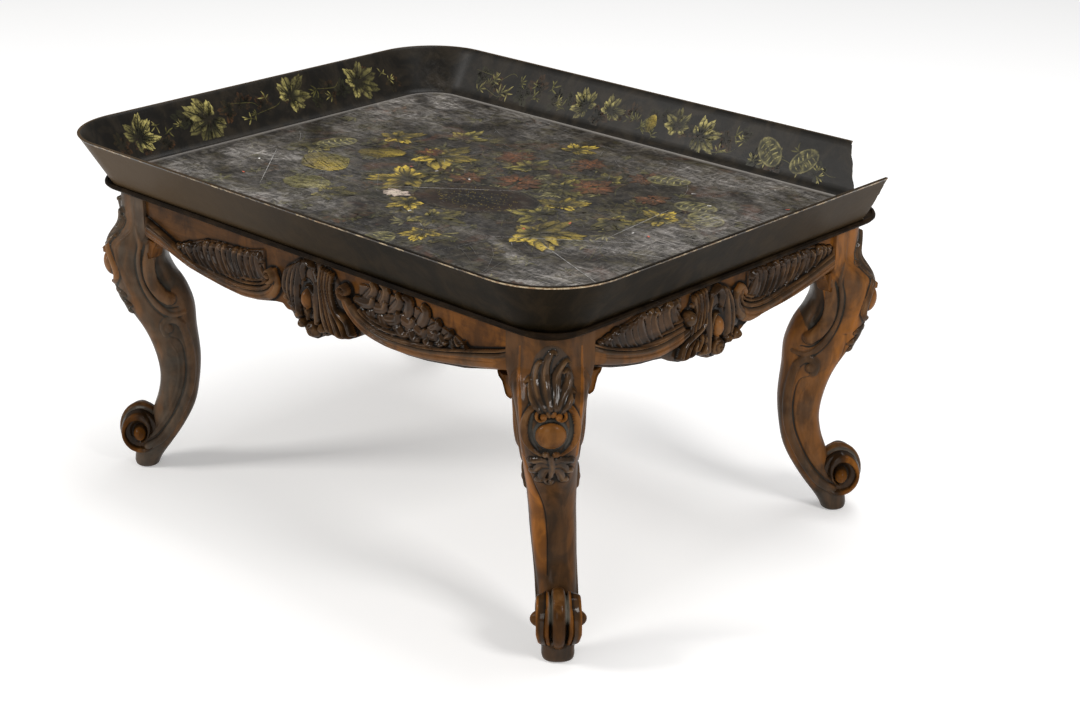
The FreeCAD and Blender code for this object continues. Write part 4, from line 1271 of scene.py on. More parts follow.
@dataclass
class Leg:
    """One cabriole leg, made about its post's outer corner.

    u points outward along the diagonal, v across it to the right as seen from
    outside, and z up.

    Attributes:
        node: the CAD node that it replaces.
        corner: the post's outer corner in plan.
        top: height of its upper end.
        warm: how warm its plain faces are in colour.
        lean: share of the sideways lean of its foot.
        dull: how dusty and grey its plain faces are; on the front left leg the grey is partly a painted sheen.
    """

    node: str
    corner: Point
    top: float
    warm: float = 0.2
    lean: float = 0.0
    dull: float = 0.03

    OUTER = [
        (354, -12.4), (330, -8), (310, 0), (286, 6), (255, 4), (230, -2), (205, -14), (180, -29), (150, -40),
        (118, -44), (95, -40), (78, -34), (55, -27), (30, -13), (12, -7), (5, -7), (2, -8.5), (0, -12),
    ]
    INNER = [
        (354, -87.7), (312, -87.7), (290, -66), (272, -62), (255, -68), (236, -80), (215, -88), (180, -90.5),
        (140, -93), (110, -90), (80, -83), (55, -70), (30, -53), (20, -45.5), (10, -39), (5, -36.5), (2, -35),
        (0, -31.5),
    ]
    WIDTH = [
        (354, 84), (315, 82), (294, 74), (270, 66), (250, 62), (232, 59), (209, 55), (190, 53), (160, 49),
        (120, 46), (96, 43.5), (75, 41), (50, 39), (25, 36), (12, 34), (5, 33.5), (2, 31), (0, 25),
    ]
    FRONT_LINES = (
        ((30, 340), (31, 307), (29, 273), (28, 248), (26, 229)),
        ((2, 283), (7, 292), (15, 292), (22, 283), (25, 268), (23, 252), (17, 243), (10, 238)),
        ((18, 283), (20, 268), (18, 254), (13, 245)),
        ((2, 224), (8, 231), (17, 229)), ((2, 223), (9, 225), (16, 216)), ((1, 221), (7, 217), (11, 205)),
    )
    SHIFT = [(354, 0), (230, 0), (170, 3), (110, 6), (60, 9), (0, 9.5)]
    SWIRL = [
        (-170, 1.14, 0.0), (-135, 0.97, 0.15), (-90, 0.84, 0.17), (0, 0.88, 0.13), (90, 0.76, 0.23),
        (180, 0.46, 0.09), (230, 0.41, 0.05), (265, 0.4, 0.02),
    ]
    POST_HALF = 31.0
    POST_ROUND = 30.0
    EXPONENT = 2.5
    TOE = (-17.0, 48.0)
    TOE_RADII = (23.0, 29.0)
    TOE_HALF = 20.0

    def base(self, z: np.ndarray, angle: np.ndarray) -> tuple[np.ndarray, np.ndarray]:
        """The plain leg's surface, before carving, as u and v."""
        outer, inner = smooth_table(z, self.OUTER), smooth_table(z, self.INNER)
        middle, depth = (outer + inner) / 2, (outer - inner) / 2
        width = smooth_table(z, self.WIDTH) / 2
        cosine, sine = np.cos(angle), np.sin(angle)
        n = self.EXPONENT
        reach = (np.abs(cosine / depth) ** n + np.abs(sine / width) ** n) ** (-1 / n)
        leg_u, leg_v = middle + reach * cosine, reach * sine
        square = self.POST_HALF / np.maximum(
            np.abs(np.cos(angle - math.pi / 4)), np.abs(np.cos(angle + math.pi / 4))
        )
        offset = (self.POST_HALF - self.POST_ROUND) * math.sqrt(2)
        rounded = offset * cosine + np.sqrt(self.POST_ROUND**2 - (offset * sine) ** 2)
        square = np.where(np.abs(angle) < math.radians(43.2), rounded, square)
        post_u = -self.POST_HALF * math.sqrt(2) + square * cosine
        post_v = square * sine
        blend = smoothstep(z, 288, 324)
        return leg_u + (post_u - leg_u) * blend, leg_v + (post_v - leg_v) * blend

    def carve_front(self, relief: Relief) -> None:
        """Carve the plume, the heart with its boss, the drop and the rosette."""
        relief.dome((0, 312), (20, 36), 1.4, warm=0.0)
        for side in (-1, 1):
            border, heart, cut, *leaves = (stepped((0, 0), side, *line) for line in self.FRONT_LINES)
            relief.stroke(border, 2.0, 1.1, Form.SOFT, (0.4, 1, 1, 0.8), warm=max(self.warm, 0.8 * self.lean))
            relief.stroke(heart, 2.9, 5.2, taper=(0.8, 1, 1, 0.9, 0.5), warm=0.15 if side < 0 else 0.7)
            relief.stroke(cut, 2.6, -2.0, Form.SOFT, (0.7, 1, 0.7), warm=0.0)
            relief.volute((side * 8.5, 282), 7.2, 6.8, 90 - 30 * side, -side, 1.1, warm=0.9)
            relief.dome((side * 5, 239), (3.8, 3.4), 5.0, warm=0.5 if side > 0 else 0.0)
            for leaf in leaves:
                relief.curl(leaf, 4.2, 3.4, 0.6, 1.6, side)
        for points, size, hand in (
            ([(-10, 287), (-16, 296), (-18, 304), (-19, 311)], 4.4, -1),
            ([(10, 287), (16, 295), (18, 303)], 4.4, 1),
            ([(6, 289), (10, 299), (16, 310), (15, 321)], 5.4, -1),
            ([(-6, 289), (-13, 302), (-14, 317), (-11, 330)], 5.4, 1),
            ([(3, 290), (4, 305), (5, 318), (12, 331)], 5.2, 1),
            ([(-1, 289), (-5, 305), (-6, 324), (0, 341)], 5.4, 1),
        ):
            relief.curl(points, size, 5.2, 0.8, 2.6, hand, blunt=0.2)
        relief.dome((0, 262), (18, 18), -1.8, warm=0.0)
        relief.dome((0, 261), (15, 15), 8.5, warm=0.85)
        relief.stroke([(0, 235), (1, 222), (-1, 210)], 3.2, 4.2, Form.ROUND, (1, 0.8), warm=0.0)
        relief.volute((-2, 203), 6, 4.0, 90, 1, 1.2, warm=0.0)
        relief.stroke([(-27, 228), (-18, 196), (-9, 163), (-7, 124), (-9, 86)], 1.6, -1.3, Form.SOFT)

    def carve_side(self, relief: Relief) -> None:
        """Carve the scrolled borders of a side, seen along u."""
        relief.dome((-63, 264), (13, 36), -5, turn=0.1, warm=0.0)
        border = [
            (-30, 314), (-35, 297), (-31, 276), (-32, 254), (-39, 231), (-52, 211), (-66, 202), (-80, 204)
        ]
        relief.stroke(
            [(u - 1.5, z + 1.5) for u, z in border], 3.4, 2.0, Form.ROUND, (0.3, 0.9, 1, 1, 0.8), warm=0.25
        )
        relief.stroke([(u + 2.6, z - 2.6) for u, z in border], 2.2, -1.2, Form.SOFT, (0.3, 1, 1, 1, 0.6))
        relief.stroke(
            [(-46, 294), (-43, 270), (-45, 248), (-55, 231), (-64, 224)], 7.6, 5.4, Form.ROUND,
            (0.5, 0.9, 1, 1, 1), warm=0.3,
        )
        relief.stroke(
            [(-37, 288), (-35, 266), (-39, 244), (-50, 224), (-62, 213), (-74, 213)], 1.4, -1.6, Form.SOFT
        )
        band = [
            (-57, 180), (-55, 190), (-63, 198), (-74, 194), (-82, 172), (-85, 145), (-82, 113), (-71, 83),
            (-57, 59), (-42, 40), (-26, 30),
        ]
        relief.stroke(band, 4.6, 2.6, Form.ROUND, (0.9, 1, 0.9, 1, 1, 1, 1.1, 1.2), warm=0.1)
        relief.dome((-61, 187), (5.5, 6.0), 3.6, warm=0.2)
        groove = [(-62, 176), (-72, 172), (-78, 145), (-75, 113), (-64, 84), (-51, 61), (-35, 43), (-20, 34)]
        relief.stroke(groove, 2.2, -1.4, Form.SOFT, (0.5, 1, 1, 1))
        ridge = [(-62, 168), (-70, 150), (-69, 118), (-59, 88), (-47, 66), (-33, 48)]
        relief.stroke(ridge, 3.0, 0.8, Form.SOFT, (0.3, 1, 1, 0.7))

    def build(self, material: Material) -> bpy.types.Object:
        """Make the carved leg with its scroll toe and ears."""
        pitch = 0.9
        rows, columns = int(self.top / pitch) + 1, int(230 / pitch)
        z = np.linspace(0, self.top, rows)[:, None].repeat(columns, 1)
        angle = np.linspace(-math.pi, math.pi, columns, endpoint=False)[None, :].repeat(rows, 0)
        u, v = self.base(z, angle)
        du = np.roll(u, -1, 1) - np.roll(u, 1, 1)
        dv = np.roll(v, -1, 1) - np.roll(v, 1, 1)
        length = np.hypot(du, dv)
        normal_u, normal_v = dv / length, -du / length
        front = Relief(v, z, self.warm)
        self.carve_front(front)
        side = Relief(u, z, self.warm)
        self.carve_side(side)
        facing = smoothstep(np.cos(angle), 0.25, 0.5)
        beside = smoothstep(np.abs(np.sin(angle)), 0.45, 0.7) * smoothstep(np.cos(angle), 0.75, 0.5)
        below = 1 - smoothstep(z, 318, 332) * beside
        height = blur(front.height * facing + side.height * beside * below, 0.6)
        hollow = np.clip(
            (height - blur(height, 2.2 / pitch)) * 0.65 + (height - blur(height, 7 / pitch)) * 0.25, -1, 1
        )
        arris = smoothstep(np.abs(np.sin(angle) * np.cos(angle)), 0.42, 0.5)
        hollow += 0.22 * arris - 0.04
        groove = np.interp(z, (86, 124, 163, 196, 228), (-9, -7, -9, -18, -27))
        facet = smoothstep(groove - v, -1, 2) * smoothstep(z, 82, 96) * smoothstep(z, 236, 222) * facing
        warm = (front.warm * facing + side.warm * (1 - facing)) * (0.5 + 0.5 * smoothstep(z, 130, 240))
        warm = warm + 0.2 * arris + facet * self.lean
        warm *= 1 - smoothstep(z, 40, 22)
        # Plain faces: dusty grey, on the front left leg partly a painted sheen; more in the hollows of the upper
        # front carving.
        dust = self.dull + 0.12 * smoothstep(front.height * facing, 0.2, -1.0) * smoothstep(z, 244, 250)
        u, v = u + normal_u * height, v + normal_v * height
        v = v + smooth_table(z, self.SHIFT) * self.lean
        points = np.stack([u, v, z], -1).reshape(-1, 3)
        faces = tube_faces(rows, columns)
        turned = np.array((1, -math.copysign(1, self.corner[0]) * math.copysign(1, self.corner[1]), 1))
        toe = self.toe(pitch)
        parts = [
            (points * turned, faces, hollow.ravel(), warm.ravel(), dust.ravel()), (toe[0] * turned, *toe[1:])
        ]
        parts += [self.ear(on_other_side) for on_other_side in (False, True)]
        points, faces = np.zeros((0, 3)), []
        for part in parts:
            placed = self.to_world(part[0])
            faces += [[len(points) + n for n in face] for face in outward(placed - placed.mean(0), part[1])]
            points = np.concatenate([points, placed])
        hollow, warm, dust = (np.concatenate([part[k] for part in parts]) for k in (2, 3, 4))
        leg = make_object(
            f"{self.node}_carved", points * MM, faces, [material], sharp=55, hollow=hollow, warm=warm,
            dust=dust
        )
        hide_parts(self.node)
        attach(leg, "stand")
        return leg

    def to_world(self, points: np.ndarray) -> np.ndarray:
        """Turn u, v, z into the frame's axes, mirrored to this leg's corner."""
        u, v, z = points.T
        half = math.sqrt(0.5)
        x, y = (u + v) * half, (u - v) * half
        side_x, side_y = (math.copysign(1, value) for value in self.corner)
        return np.stack([self.corner[0] + side_x * x, self.corner[1] + side_y * y, z], 1)

    def swirl(self, share: np.ndarray, around: np.ndarray) -> np.ndarray:
        """Height of the toe's side: a band that winds in round a button."""
        turn = np.degrees(np.angle(np.exp(1j * around)))
        table = np.array(self.SWIRL)
        rise = np.full(np.broadcast(share, around).shape, -2.2)
        for lap in (0, 360):
            middle = np.interp(turn + lap, table[:, 0], table[:, 1])
            width = np.interp(turn + lap, table[:, 0], table[:, 2], left=0.0, right=0.0)
            x = np.abs(share - middle) / np.maximum(width, 1e-3)
            rise = np.maximum(rise, np.where(x < 1, -2.2 + 5.6 * np.sqrt(np.clip(1 - x**2.5, 0, 1)), -2.2))
        cove = np.interp(share, (0.3, 0.42, 0.55, 0.7), (-5.0, -5.0, -3.2, -2.2))
        rise = np.where(rise <= -2.2, cove, rise)
        button = -5 + 14.0 * np.clip(1 - (share / 0.35) ** 2, 0, 1) ** 0.5
        return np.where(share < 0.35, np.maximum(button, -5), rise) - 4.5 * smoothstep(share, 0.84, 1.02) ** 2

    def toe(self, pitch: float) -> tuple[np.ndarray, ...]:
        """The scroll toe: a lobed roll with a winding band and a button on each side."""
        around = np.linspace(0, 2 * math.pi, int(180 / pitch), endpoint=False)
        radii = self.TOE_RADII
        sides = np.linspace(0.02, 0.97, int(30 / pitch))
        rim = np.linspace(-1, 1, int(48 / pitch))
        share = np.concatenate([sides, np.ones(len(rim)), sides[::-1]])[:, None]
        across = np.concatenate([np.full(len(sides), -1.0), rim, np.full(len(sides), 1.0)])[:, None]
        on_side = np.abs(across) >= 1.0
        side_rise = self.swirl(share, around)
        lobe = np.abs(across)
        crown = 3.4 * np.sqrt(np.clip(1 - (lobe / 0.43) ** 2, 0, 1)) + 0.2
        band = 0.6 * np.sqrt(np.clip(1 - ((lobe - 0.83) / 0.2) ** 2, 0, 1)) - 1.0
        rim_rise = np.where(lobe < 0.43, crown, band) - 4.4 * np.exp(-(((lobe - 0.55) / 0.085) ** 2))
        rim_rise = rim_rise - 2.4 * smoothstep(lobe, 0.86, 1.0) ** 2
        outer = np.where(on_side, 0, rim_rise)
        u = self.TOE[0] + (radii[0] * share + outer) * np.cos(around)
        z = self.TOE[1] + (radii[1] * share + outer) * np.sin(around)
        half = np.interp(
            z, (19, 26, 40, 60, 78), (16.0, 17.5, self.TOE_HALF, self.TOE_HALF, self.TOE_HALF - 1)
        )
        edge = half - 4.5
        v = np.where(on_side, np.sign(across) * (half + side_rise), across * edge)
        v = v + smooth_table(np.array([self.TOE[1]]), self.SHIFT) * self.lean
        points = np.stack([u, v, z], -1).reshape(-1, 3)
        rows, columns = u.shape
        faces = tube_faces(rows, columns)
        groove = np.exp(-(((lobe - 0.57) / 0.12) ** 2)) * np.where(on_side, 0, 1)
        hollow = np.where(on_side, np.clip((side_rise + 1.5) / 6, -1, 0.6), (rim_rise + 0.6) / 5)
        hollow = np.clip(np.broadcast_to(hollow, u.shape), -1, 1)
        warm = np.where(
            on_side, smoothstep(side_rise, 0.5, 2.5) * smoothstep(np.cos(around), -0.2, 0.5),
            0.3 * (lobe < 0.4)
        )
        warm = np.where(on_side & (share < 0.3), 0.7 - 0.45 * self.lean, warm)
        warm = np.where(~on_side & (lobe > 0.68), 0.75, warm)
        dust = groove * smoothstep(z, 50, 60) * 0.9
        return points, faces, hollow.ravel(), np.broadcast_to(warm, u.shape).ravel(), dust.ravel()

    def ear(self, turned: bool) -> tuple[np.ndarray, ...]:
        """The small curled bracket under an apron's end."""
        outline = smooth_path(
            [(0, 0), (-9, -1), (-15, 2), (-13.5, -4), (-9, -8), (-6.5, -14), (-3, -22), (3, -24)], 24
        )
        outline = np.concatenate([outline, [(6, -12), (6, 0)]])
        count = len(outline)
        depths, shrink = (-5.5, -4.0, -17.0, -19.0), (1.2, 0.0, 0.0, 1.2)
        middle = outline.mean(0)
        toward = middle - outline
        toward /= np.linalg.norm(toward, axis=1)[:, None]
        layers = []
        for depth, inset in zip(depths, shrink):
            ring = outline + toward * inset
            layers.append(np.stack([ring[:, 0] - 62, np.full(count, depth), ring[:, 1] + 302.5], 1))
        x, y, z = np.concatenate(layers).T
        if turned:
            x, y, z = y, x, z + 4.5
        half = math.sqrt(0.5)
        points = np.stack([(x + y) * half, (x - y) * half, z], 1)
        faces = tube_faces(len(depths), count)
        flat = np.full(len(points), 0.1)
        return points, faces, flat, flat * 4, flat * 0


# Tray


class Face(IntEnum):
    """The kinds of face on the tray, in the order of its materials."""

    OUTSIDE = 0
    INSIDE = 1
    RIM = 2
    FLOOR = 3
    CORE = 4


@dataclass
class TrayShape:
    """The tray's form, from the frame's sizes in millimetres.

    Attributes:
        half: half length and half width over the rim.
        bottom: height of the underside.
        top: height of the rim.
        lean: how far the wall leans out from its foot to the rim.
        radius: corner radius at the foot.
        wall: thickness of the wall, measured level.
        floor: thickness of the floor.
    """

    half: Point
    bottom: float
    top: float
    lean: float = 35.9
    radius: float = 50.0
    wall: float = 4.5
    floor: float = 6.0

    @property
    def flare(self) -> float:
        """How far the wall leans out for each millimetre up."""
        return self.lean / (self.top - self.bottom)

    @property
    def floor_top(self) -> float:
        """Height of the floor's upper face."""
        return self.bottom + self.floor

    @property
    def base(self) -> np.ndarray:
        """Half length and half width at the wall's foot."""
        return np.array(self.half) - self.lean

    def outline(self, outward: float, corner_steps: int, side_steps: tuple[int, int]) -> np.ndarray:
        """A rounded rectangle round the tray.

        Args:
            outward: how far it lies outward of the wall's foot.
            corner_steps: how many steps each corner has.
            side_steps: how many steps each long and short side has.

        Returns:
            Its points, anticlockwise from the front right corner.
        """
        radius = max(self.radius + outward, 1.0)
        corners = np.array(((1, -1), (1, 1), (-1, 1), (-1, -1), (1, -1))) * (self.base + outward - radius)
        points = []
        for number, steps in enumerate(side_steps[::-1] * 2):
            angles = np.radians(np.linspace(90 * number - 90, 90 * number, corner_steps + 1))
            arc = polar(angles, radius) + corners[number]
            shares = np.linspace(0, 1, steps + 1)[1:-1, None]
            points += [arc, arc[-1] + (corners[number + 1] - corners[number]) * shares]
        return np.concatenate(points)

    def wall_point(self, side: str, along, up, off: float = 0.0) -> np.ndarray:
        """Points of the inner wall.

        Args:
            side: which wall: left, back, right or front.
            along: places along the wall from its middle, from left to right
                as seen from inside.
            up: distances up the slope from the floor.
            off: distance out of the surface.

        Returns:
            One row of coordinates for each point.
        """
        along, up = np.asarray(along, float), np.asarray(up, float)
        slope = math.atan(self.flare)
        base = self.base
        rise = up * math.cos(slope) + off * math.sin(slope)
        outward = self.flare * self.floor - self.wall + up * math.sin(slope) - off * math.cos(slope)
        run = base[1] - self.radius if side in ("left", "right") else base[0] - self.radius
        radius = self.radius + outward
        turn = np.clip((np.abs(along) - run) / (self.radius + self.lean / 2), 0, math.pi / 2)
        flat = np.where(turn > 0, np.copysign(run + radius * np.sin(turn), along), along)
        depth = radius * (1 - np.cos(turn))
        reach = (base[0] if side in ("left", "right") else base[1]) + outward - depth
        x, y = {
            "left": (-reach, flat), "back": (flat, reach), "right": (reach, -flat), "front": (-flat, -reach)
        }[side]
        return np.stack([x, y, self.floor_top + rise], -1)


def bloom_at(x: np.ndarray, y: np.ndarray) -> np.ndarray:
    """How much whitish blooming and painted sheen the floor has at a place, from 0 to 1."""
    away = np.hypot((x + 15) / 255, (y - 30) / 175)
    bloom = 0.17 + 0.45 * smoothstep(away, 0.65, 1.25)
    for across, up, wide, deep, much in (
        (-285, -150, 100, 100, 0.65), (170, -195, 160, 50, 1.1), (270, 60, 60, 110, 0.3),
        (-60, -150, 110, 45, 0.25),
        (-320, 215, 60, 45, 0.5),
    ):
        bloom = bloom + much * np.exp(-(((x - across) / wide) ** 2) - ((y - up) / deep) ** 2)
    return np.clip(bloom, 0, 1)


@dataclass
class TrayBody:
    """The lacquered shell with its broken corner."""

    shape: TrayShape

    BREAK = [
        (290, 330), (290, 303), (293.5, 301), (296, 296), (303, 291), (307, 286), (313, 280), (321, 273),
        (329, 266),
        (338, 258), (345, 249), (352, 241), (361, 232), (366, 225), (374, 226.5), (382, 224.5), (388, 222.5),
        (394, 219), (401, 217.5), (430, 216), (430, 330),
    ]

    def build(self, materials: dict[str, Material]) -> bpy.types.Object:
        """Make the shell, cut the corner off it and dress it.

        Args:
            materials: the materials by what they cover.

        Returns:
            The shell.
        """
        shape = self.shape
        corner, sides = ((26, (80, 62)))
        slant = shape.flare
        rings = [(-inward, shape.bottom, Face.OUTSIDE) for inward in (262, 200, 120, 50, 12, 3, 0.8)]
        rings.append((0.6, shape.bottom + 0.9, Face.OUTSIDE))
        for share in np.linspace(0.05, 0.955, 12):
            rise = share * (shape.top - shape.bottom)
            rings.append((slant * rise, shape.bottom + rise, Face.OUTSIDE))
        for inward, drop, kind in (
            (0.5, 1.1, Face.RIM), (0, 0.5, Face.RIM), (0.5, 0, Face.OUTSIDE),
            (shape.wall - 0.9, 0, Face.OUTSIDE),
            (shape.wall - 0.2, 0.5, Face.INSIDE),
        ):
            rings.append((shape.lean - inward, shape.top - drop, kind))
        foot = slant * shape.floor - shape.wall
        for share in np.linspace(0.95, 0.1, 12):
            rise = share * (shape.top - shape.floor_top)
            rings.append((foot + slant * rise, shape.floor_top + rise, Face.INSIDE))
        for sine in np.sin(np.radians(np.linspace(10, 80, 5))):
            rings.append((foot + 1.2 - 5.6 * sine, shape.floor_top + 2.6 * (1 - sine) ** 1.6, Face.INSIDE))
        for outward in (foot - 6, *-np.linspace(14, 262, 22)):
            rings.append((outward, shape.floor_top, Face.FLOOR))
        flats = [shape.outline(outward, corner, sides) for outward, _, _ in rings]
        layers = [np.column_stack([flat, np.full(len(flat), ring[1])]) for flat, ring in zip(flats, rings)]
        kinds = [ring[2] for ring in rings]
        count = len(layers[0])
        points = np.concatenate(layers)
        faces = tube_faces(len(layers), count)
        indices = [kind for kind in kinds[1:] for _ in range(count)] + [Face.OUTSIDE, Face.FLOOR]
        kind, place = np.repeat(kinds, count), np.repeat(np.arange(len(layers)), count)
        on_floor = kind == Face.FLOOR
        # Floor: whitish blooming and painted sheen; other faces a little blooming.
        bloom = np.where(on_floor, bloom_at(points[:, 0], points[:, 1]), 0.15)
        # Painted highlight: a whitish patch on the inner back corner that stands in for a lamp's reflection.
        painted_highlight = np.exp(-(((points[:, 0] + 345) / 26) ** 2) - ((points[:, 1] - 255) / 26) ** 2)
        bloom = np.where(kind == Face.INSIDE, 0.12 + 0.75 * painted_highlight, bloom)
        foot_line = np.abs(place + 1 - kinds.index(Face.FLOOR)) <= 1
        scuff = np.where(foot_line, 0.42, 0.0)
        corner_wear = np.exp(-(((points[:, 0] - 375) / 60) ** 2) - ((points[:, 1] + 285) / 55) ** 2)
        left_chip = np.exp(-(((points[:, 0] + 388) / 16) ** 2) - ((points[:, 1] + 275) / 20) ** 2)
        gilt_share = np.clip(0.04 + 0.35 * corner_wear + 0.5 * left_chip, 0, 0.6)
        shell = make_object(
            "tray_shell", points * MM, faces, [materials[face.name.lower()] for face in Face], indices,
            sharp=40,
            scuff=scuff, bloom=bloom, gilt=gilt_share,
        )
        self.break_corner(shell, materials["core"])
        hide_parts("tray")
        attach(shell, "tray")
        return shell

    def break_corner(self, shell: bpy.types.Object, core: Material) -> None:
        """Cut the lost corner off with a jagged prism.

        Args:
            shell: the tray's mesh.
            core: what shows where it broke.
        """
        first, *edge, last, corner = np.array(self.BREAK)
        path = []
        for start, end in zip(edge, [*edge[1:], last]):
            for share in (0, 0.25, 0.5, 0.75):
                wobble = RANDOM.normal(0, 0.55, 2) if share else 0
                path.append(start + (end - start) * share + wobble)
        outline = [first, *path, last, corner]
        count = len(outline)
        low, high = self.shape.bottom - 10, self.shape.top + 10
        points = [(x, y, low) for x, y in outline] + [(x, y, high) for x, y in outline]
        faces = [[n, (n + 1) % count, count + (n + 1) % count, count + n] for n in range(count)]
        faces += [list(range(count))[::-1], list(range(count, 2 * count))]
        cutter = make_object("corner_cutter", np.array(points) * MM, faces, [core])
        modifier = shell.modifiers.new("broken_corner", "BOOLEAN")
        modifier.operation = "DIFFERENCE"
        modifier.solver = "EXACT"
        modifier.object = cutter
        modifier.material_mode = "TRANSFER"
        bpy.context.view_layer.update()
        evaluated = shell.evaluated_get(bpy.context.evaluated_depsgraph_get())
        mesh = bpy.data.meshes.new_from_object(evaluated)
        shell.modifiers.clear()
        shell.data = mesh
        mesh.set_sharp_from_angle(angle=math.radians(40))
        bpy.data.objects.remove(cutter)


# Painting


Place = Callable[[float, float, float], np.ndarray]

GOLD = (0.60, 0.43, 0.06)
PALE_GOLD = (0.50, 0.44, 0.17)
WALL_GOLD = (0.52, 0.45, 0.15)
OLIVE = (0.20, 0.185, 0.05)
MOSS = (0.04, 0.042, 0.018)
RUST = (0.46, 0.165, 0.055)
BROWN = (0.12, 0.05, 0.018)
CREAM = (0.62, 0.53, 0.42)
WHITE = (0.8, 0.78, 0.75)


def oval(size: float, ratio: float, angle: np.ndarray) -> np.ndarray:
    """Radius at these angles of an oval whose height is this share of its width."""
    return size / np.sqrt(np.cos(angle) ** 2 + (np.sin(angle) / ratio) ** 2)


def blend(first: Sequence[float], second: Sequence[float], share: np.ndarray) -> np.ndarray:
    """Colours between two, one row for each share."""
    share = np.asarray(share)[:, None]
    return np.asarray(first) * (1 - share) + np.asarray(second) * share


def arcs(start: np.ndarray, middle: np.ndarray, end: np.ndarray) -> np.ndarray:
    """Five points on each of many arcs, from start to end by way of middle."""
    t = np.linspace(0, 1, 5)[None, :, None]
    return start[:, None] * (1 - t) ** 2 + 2 * t * (1 - t) * middle[:, None] + end[:, None] * t**2


@dataclass
class Painting:
    """Thin painted strokes, gathered into one mesh.

    Attributes:
        shape: the tray that is painted.
        haze: share of the tray's whitish blooming and painted sheen that lies on what is painted next.
        layer: height of the last patch above the lacquer.
        total: how many points there are.
        points: the points of each patch.
        faces: the faces of all patches.
        values: for each attribute of the mesh, its values on each patch.
    """

    shape: TrayShape
    haze: float = 0.5
    layer: float = 0.04
    total: int = 0
    points: list[np.ndarray] = field(default_factory=list)
    faces: list[list[int]] = field(default_factory=list)
    values: dict[str, list[np.ndarray]] = field(default_factory=dict)

    LAYER_STEP = 0.00006
    BRISTLES = (-1, -0.45, 0.45, 1)

    def add(
        self, place: Place, flat: np.ndarray, faces: list[list[int]], tint: np.ndarray, cover: np.ndarray,
        over: np.ndarray | float = 0.0,
    ) -> None:
        """Add one patch.

        Args:
            place: what lifts it onto the tray.
            flat: its points, laid flat.
            faces: the corners of each face.
            tint: colour at each point.
            cover: how strongly the paint covers at each point.
            over: how far each point lies above the patch's own layer.
        """
        self.layer += self.LAYER_STEP
        lifted = place(flat[:, 0], flat[:, 1], self.layer + over)
        face = faces[0][:3]
        above = place(flat[face, 0], flat[face, 1], self.layer + 1)[0] - lifted[face[0]]
        first, second, third = lifted[face]
        if np.dot(np.cross(second - first, third - first), above) < 0:
            faces = [face[::-1] for face in faces]
        self.points.append(lifted)
        self.faces += [[self.total + n for n in face] for face in faces]
        on_floor = lifted[:, 2] < self.shape.floor_top + 1
        count = len(flat)
        values = {
            "tint": np.column_stack([np.clip(tint, 0, 1), np.ones(count)]),
            "cover": np.broadcast_to(cover, count),
            "haze_share": np.full(count, self.haze),
            # Whitish blooming and painted sheen of the floor under each stroke.
            "bloom": np.where(on_floor, bloom_at(lifted[:, 0], lifted[:, 1]), 0.1),
            "wall": 1.0 - on_floor,
        }
        for key, numbers in values.items():
            self.values.setdefault(key, []).append(numbers)
        self.total += count
        self.layer += float(np.max(over))

    def on_floor(self, x: float, y: float, turn: float) -> Place:
        """A place on the floor.

        Args:
            x: how far it lies to the right.
            y: how far it lies to the back.
            turn: its turn in degrees.

        Returns:
            What lifts flat points onto it.
        """
        cosine, sine = math.cos(math.radians(turn)), math.sin(math.radians(turn))

        def place(across: np.ndarray, up: np.ndarray, off: np.ndarray) -> np.ndarray:
            """Lift flat points onto the floor."""
            height = np.broadcast_to(self.shape.floor_top + off, np.shape(across))
            return np.stack([x + across * cosine - up * sine, y + across * sine + up * cosine, height], -1)

        return place

    def on_wall(self, side: str, along: float, up: float, turn: float) -> Place:
        """A place on an inner wall.

        Args:
            side: which wall: left, back, right or front.
            along: its place along the wall.
            up: its place up the slope.
            turn: its turn in degrees.

        Returns:
            What lifts flat points onto it.
        """
        cosine, sine = math.cos(math.radians(turn)), math.sin(math.radians(turn))

        def place(across: np.ndarray, rise: np.ndarray, off: np.ndarray) -> np.ndarray:
            """Lift flat points onto the wall."""
            height = np.clip(up + across * sine + rise * cosine, 3.2, 60)
            return self.shape.wall_point(side, along + across * cosine - rise * sine, height, off)

        return place

    def brush(
        self, place: Place, paths: np.ndarray, widths: np.ndarray, foot: np.ndarray, tip: np.ndarray,
        cover: np.ndarray, fade: Point = (0.2, 1.0), taper=(0.35, 0.8, 1.0, 0.85, 0.15),
    ) -> None:
        """Many soft brush strokes.

        Args:
            place: where they go.
            paths: the points of each stroke, from foot to tip.
            widths: half width of each.
            foot: colour at the foot of each.
            tip: colour at the tip of each.
            cover: how strongly each covers.
            fade: share of that at the foot and at the tip.
            taper: share of the width from foot to tip.
        """
        number, count = paths.shape[:2]
        along = np.linspace(0, 1, count)
        across = np.array(self.BRISTLES)
        offset = across[None, :, None] * (widths[:, None] * spread(taper, along))[:, None, :]
        flat = paths[:, None] + left_of(paths)[:, None] * offset[..., None]
        share = smoothstep(along, 0.15, 0.75)[None, None, :, None]
        foot, tip = (np.broadcast_to(colour, (number, 3))[:, None, None, :] for colour in (foot, tip))
        tint = np.broadcast_to(foot * (1 - share) + tip * share, (number, 4, count, 3))
        strength = np.broadcast_to(cover, number)[:, None, None] * np.array((0.05, 1, 1, 0.05))[None, :, None]
        strength = strength * np.interp(along, (0, 0.6, 1), (fade[0], max(fade), fade[1]))[None, None, :]
        faces = [face for k in range(number) for face in grid_quads(4, count, start=k * 4 * count)]
        over = np.repeat(np.arange(number) * 0.00005, 4 * count)
        self.add(place, flat.reshape(-1, 2), faces, tint.reshape(-1, 3), strength.ravel(), over)

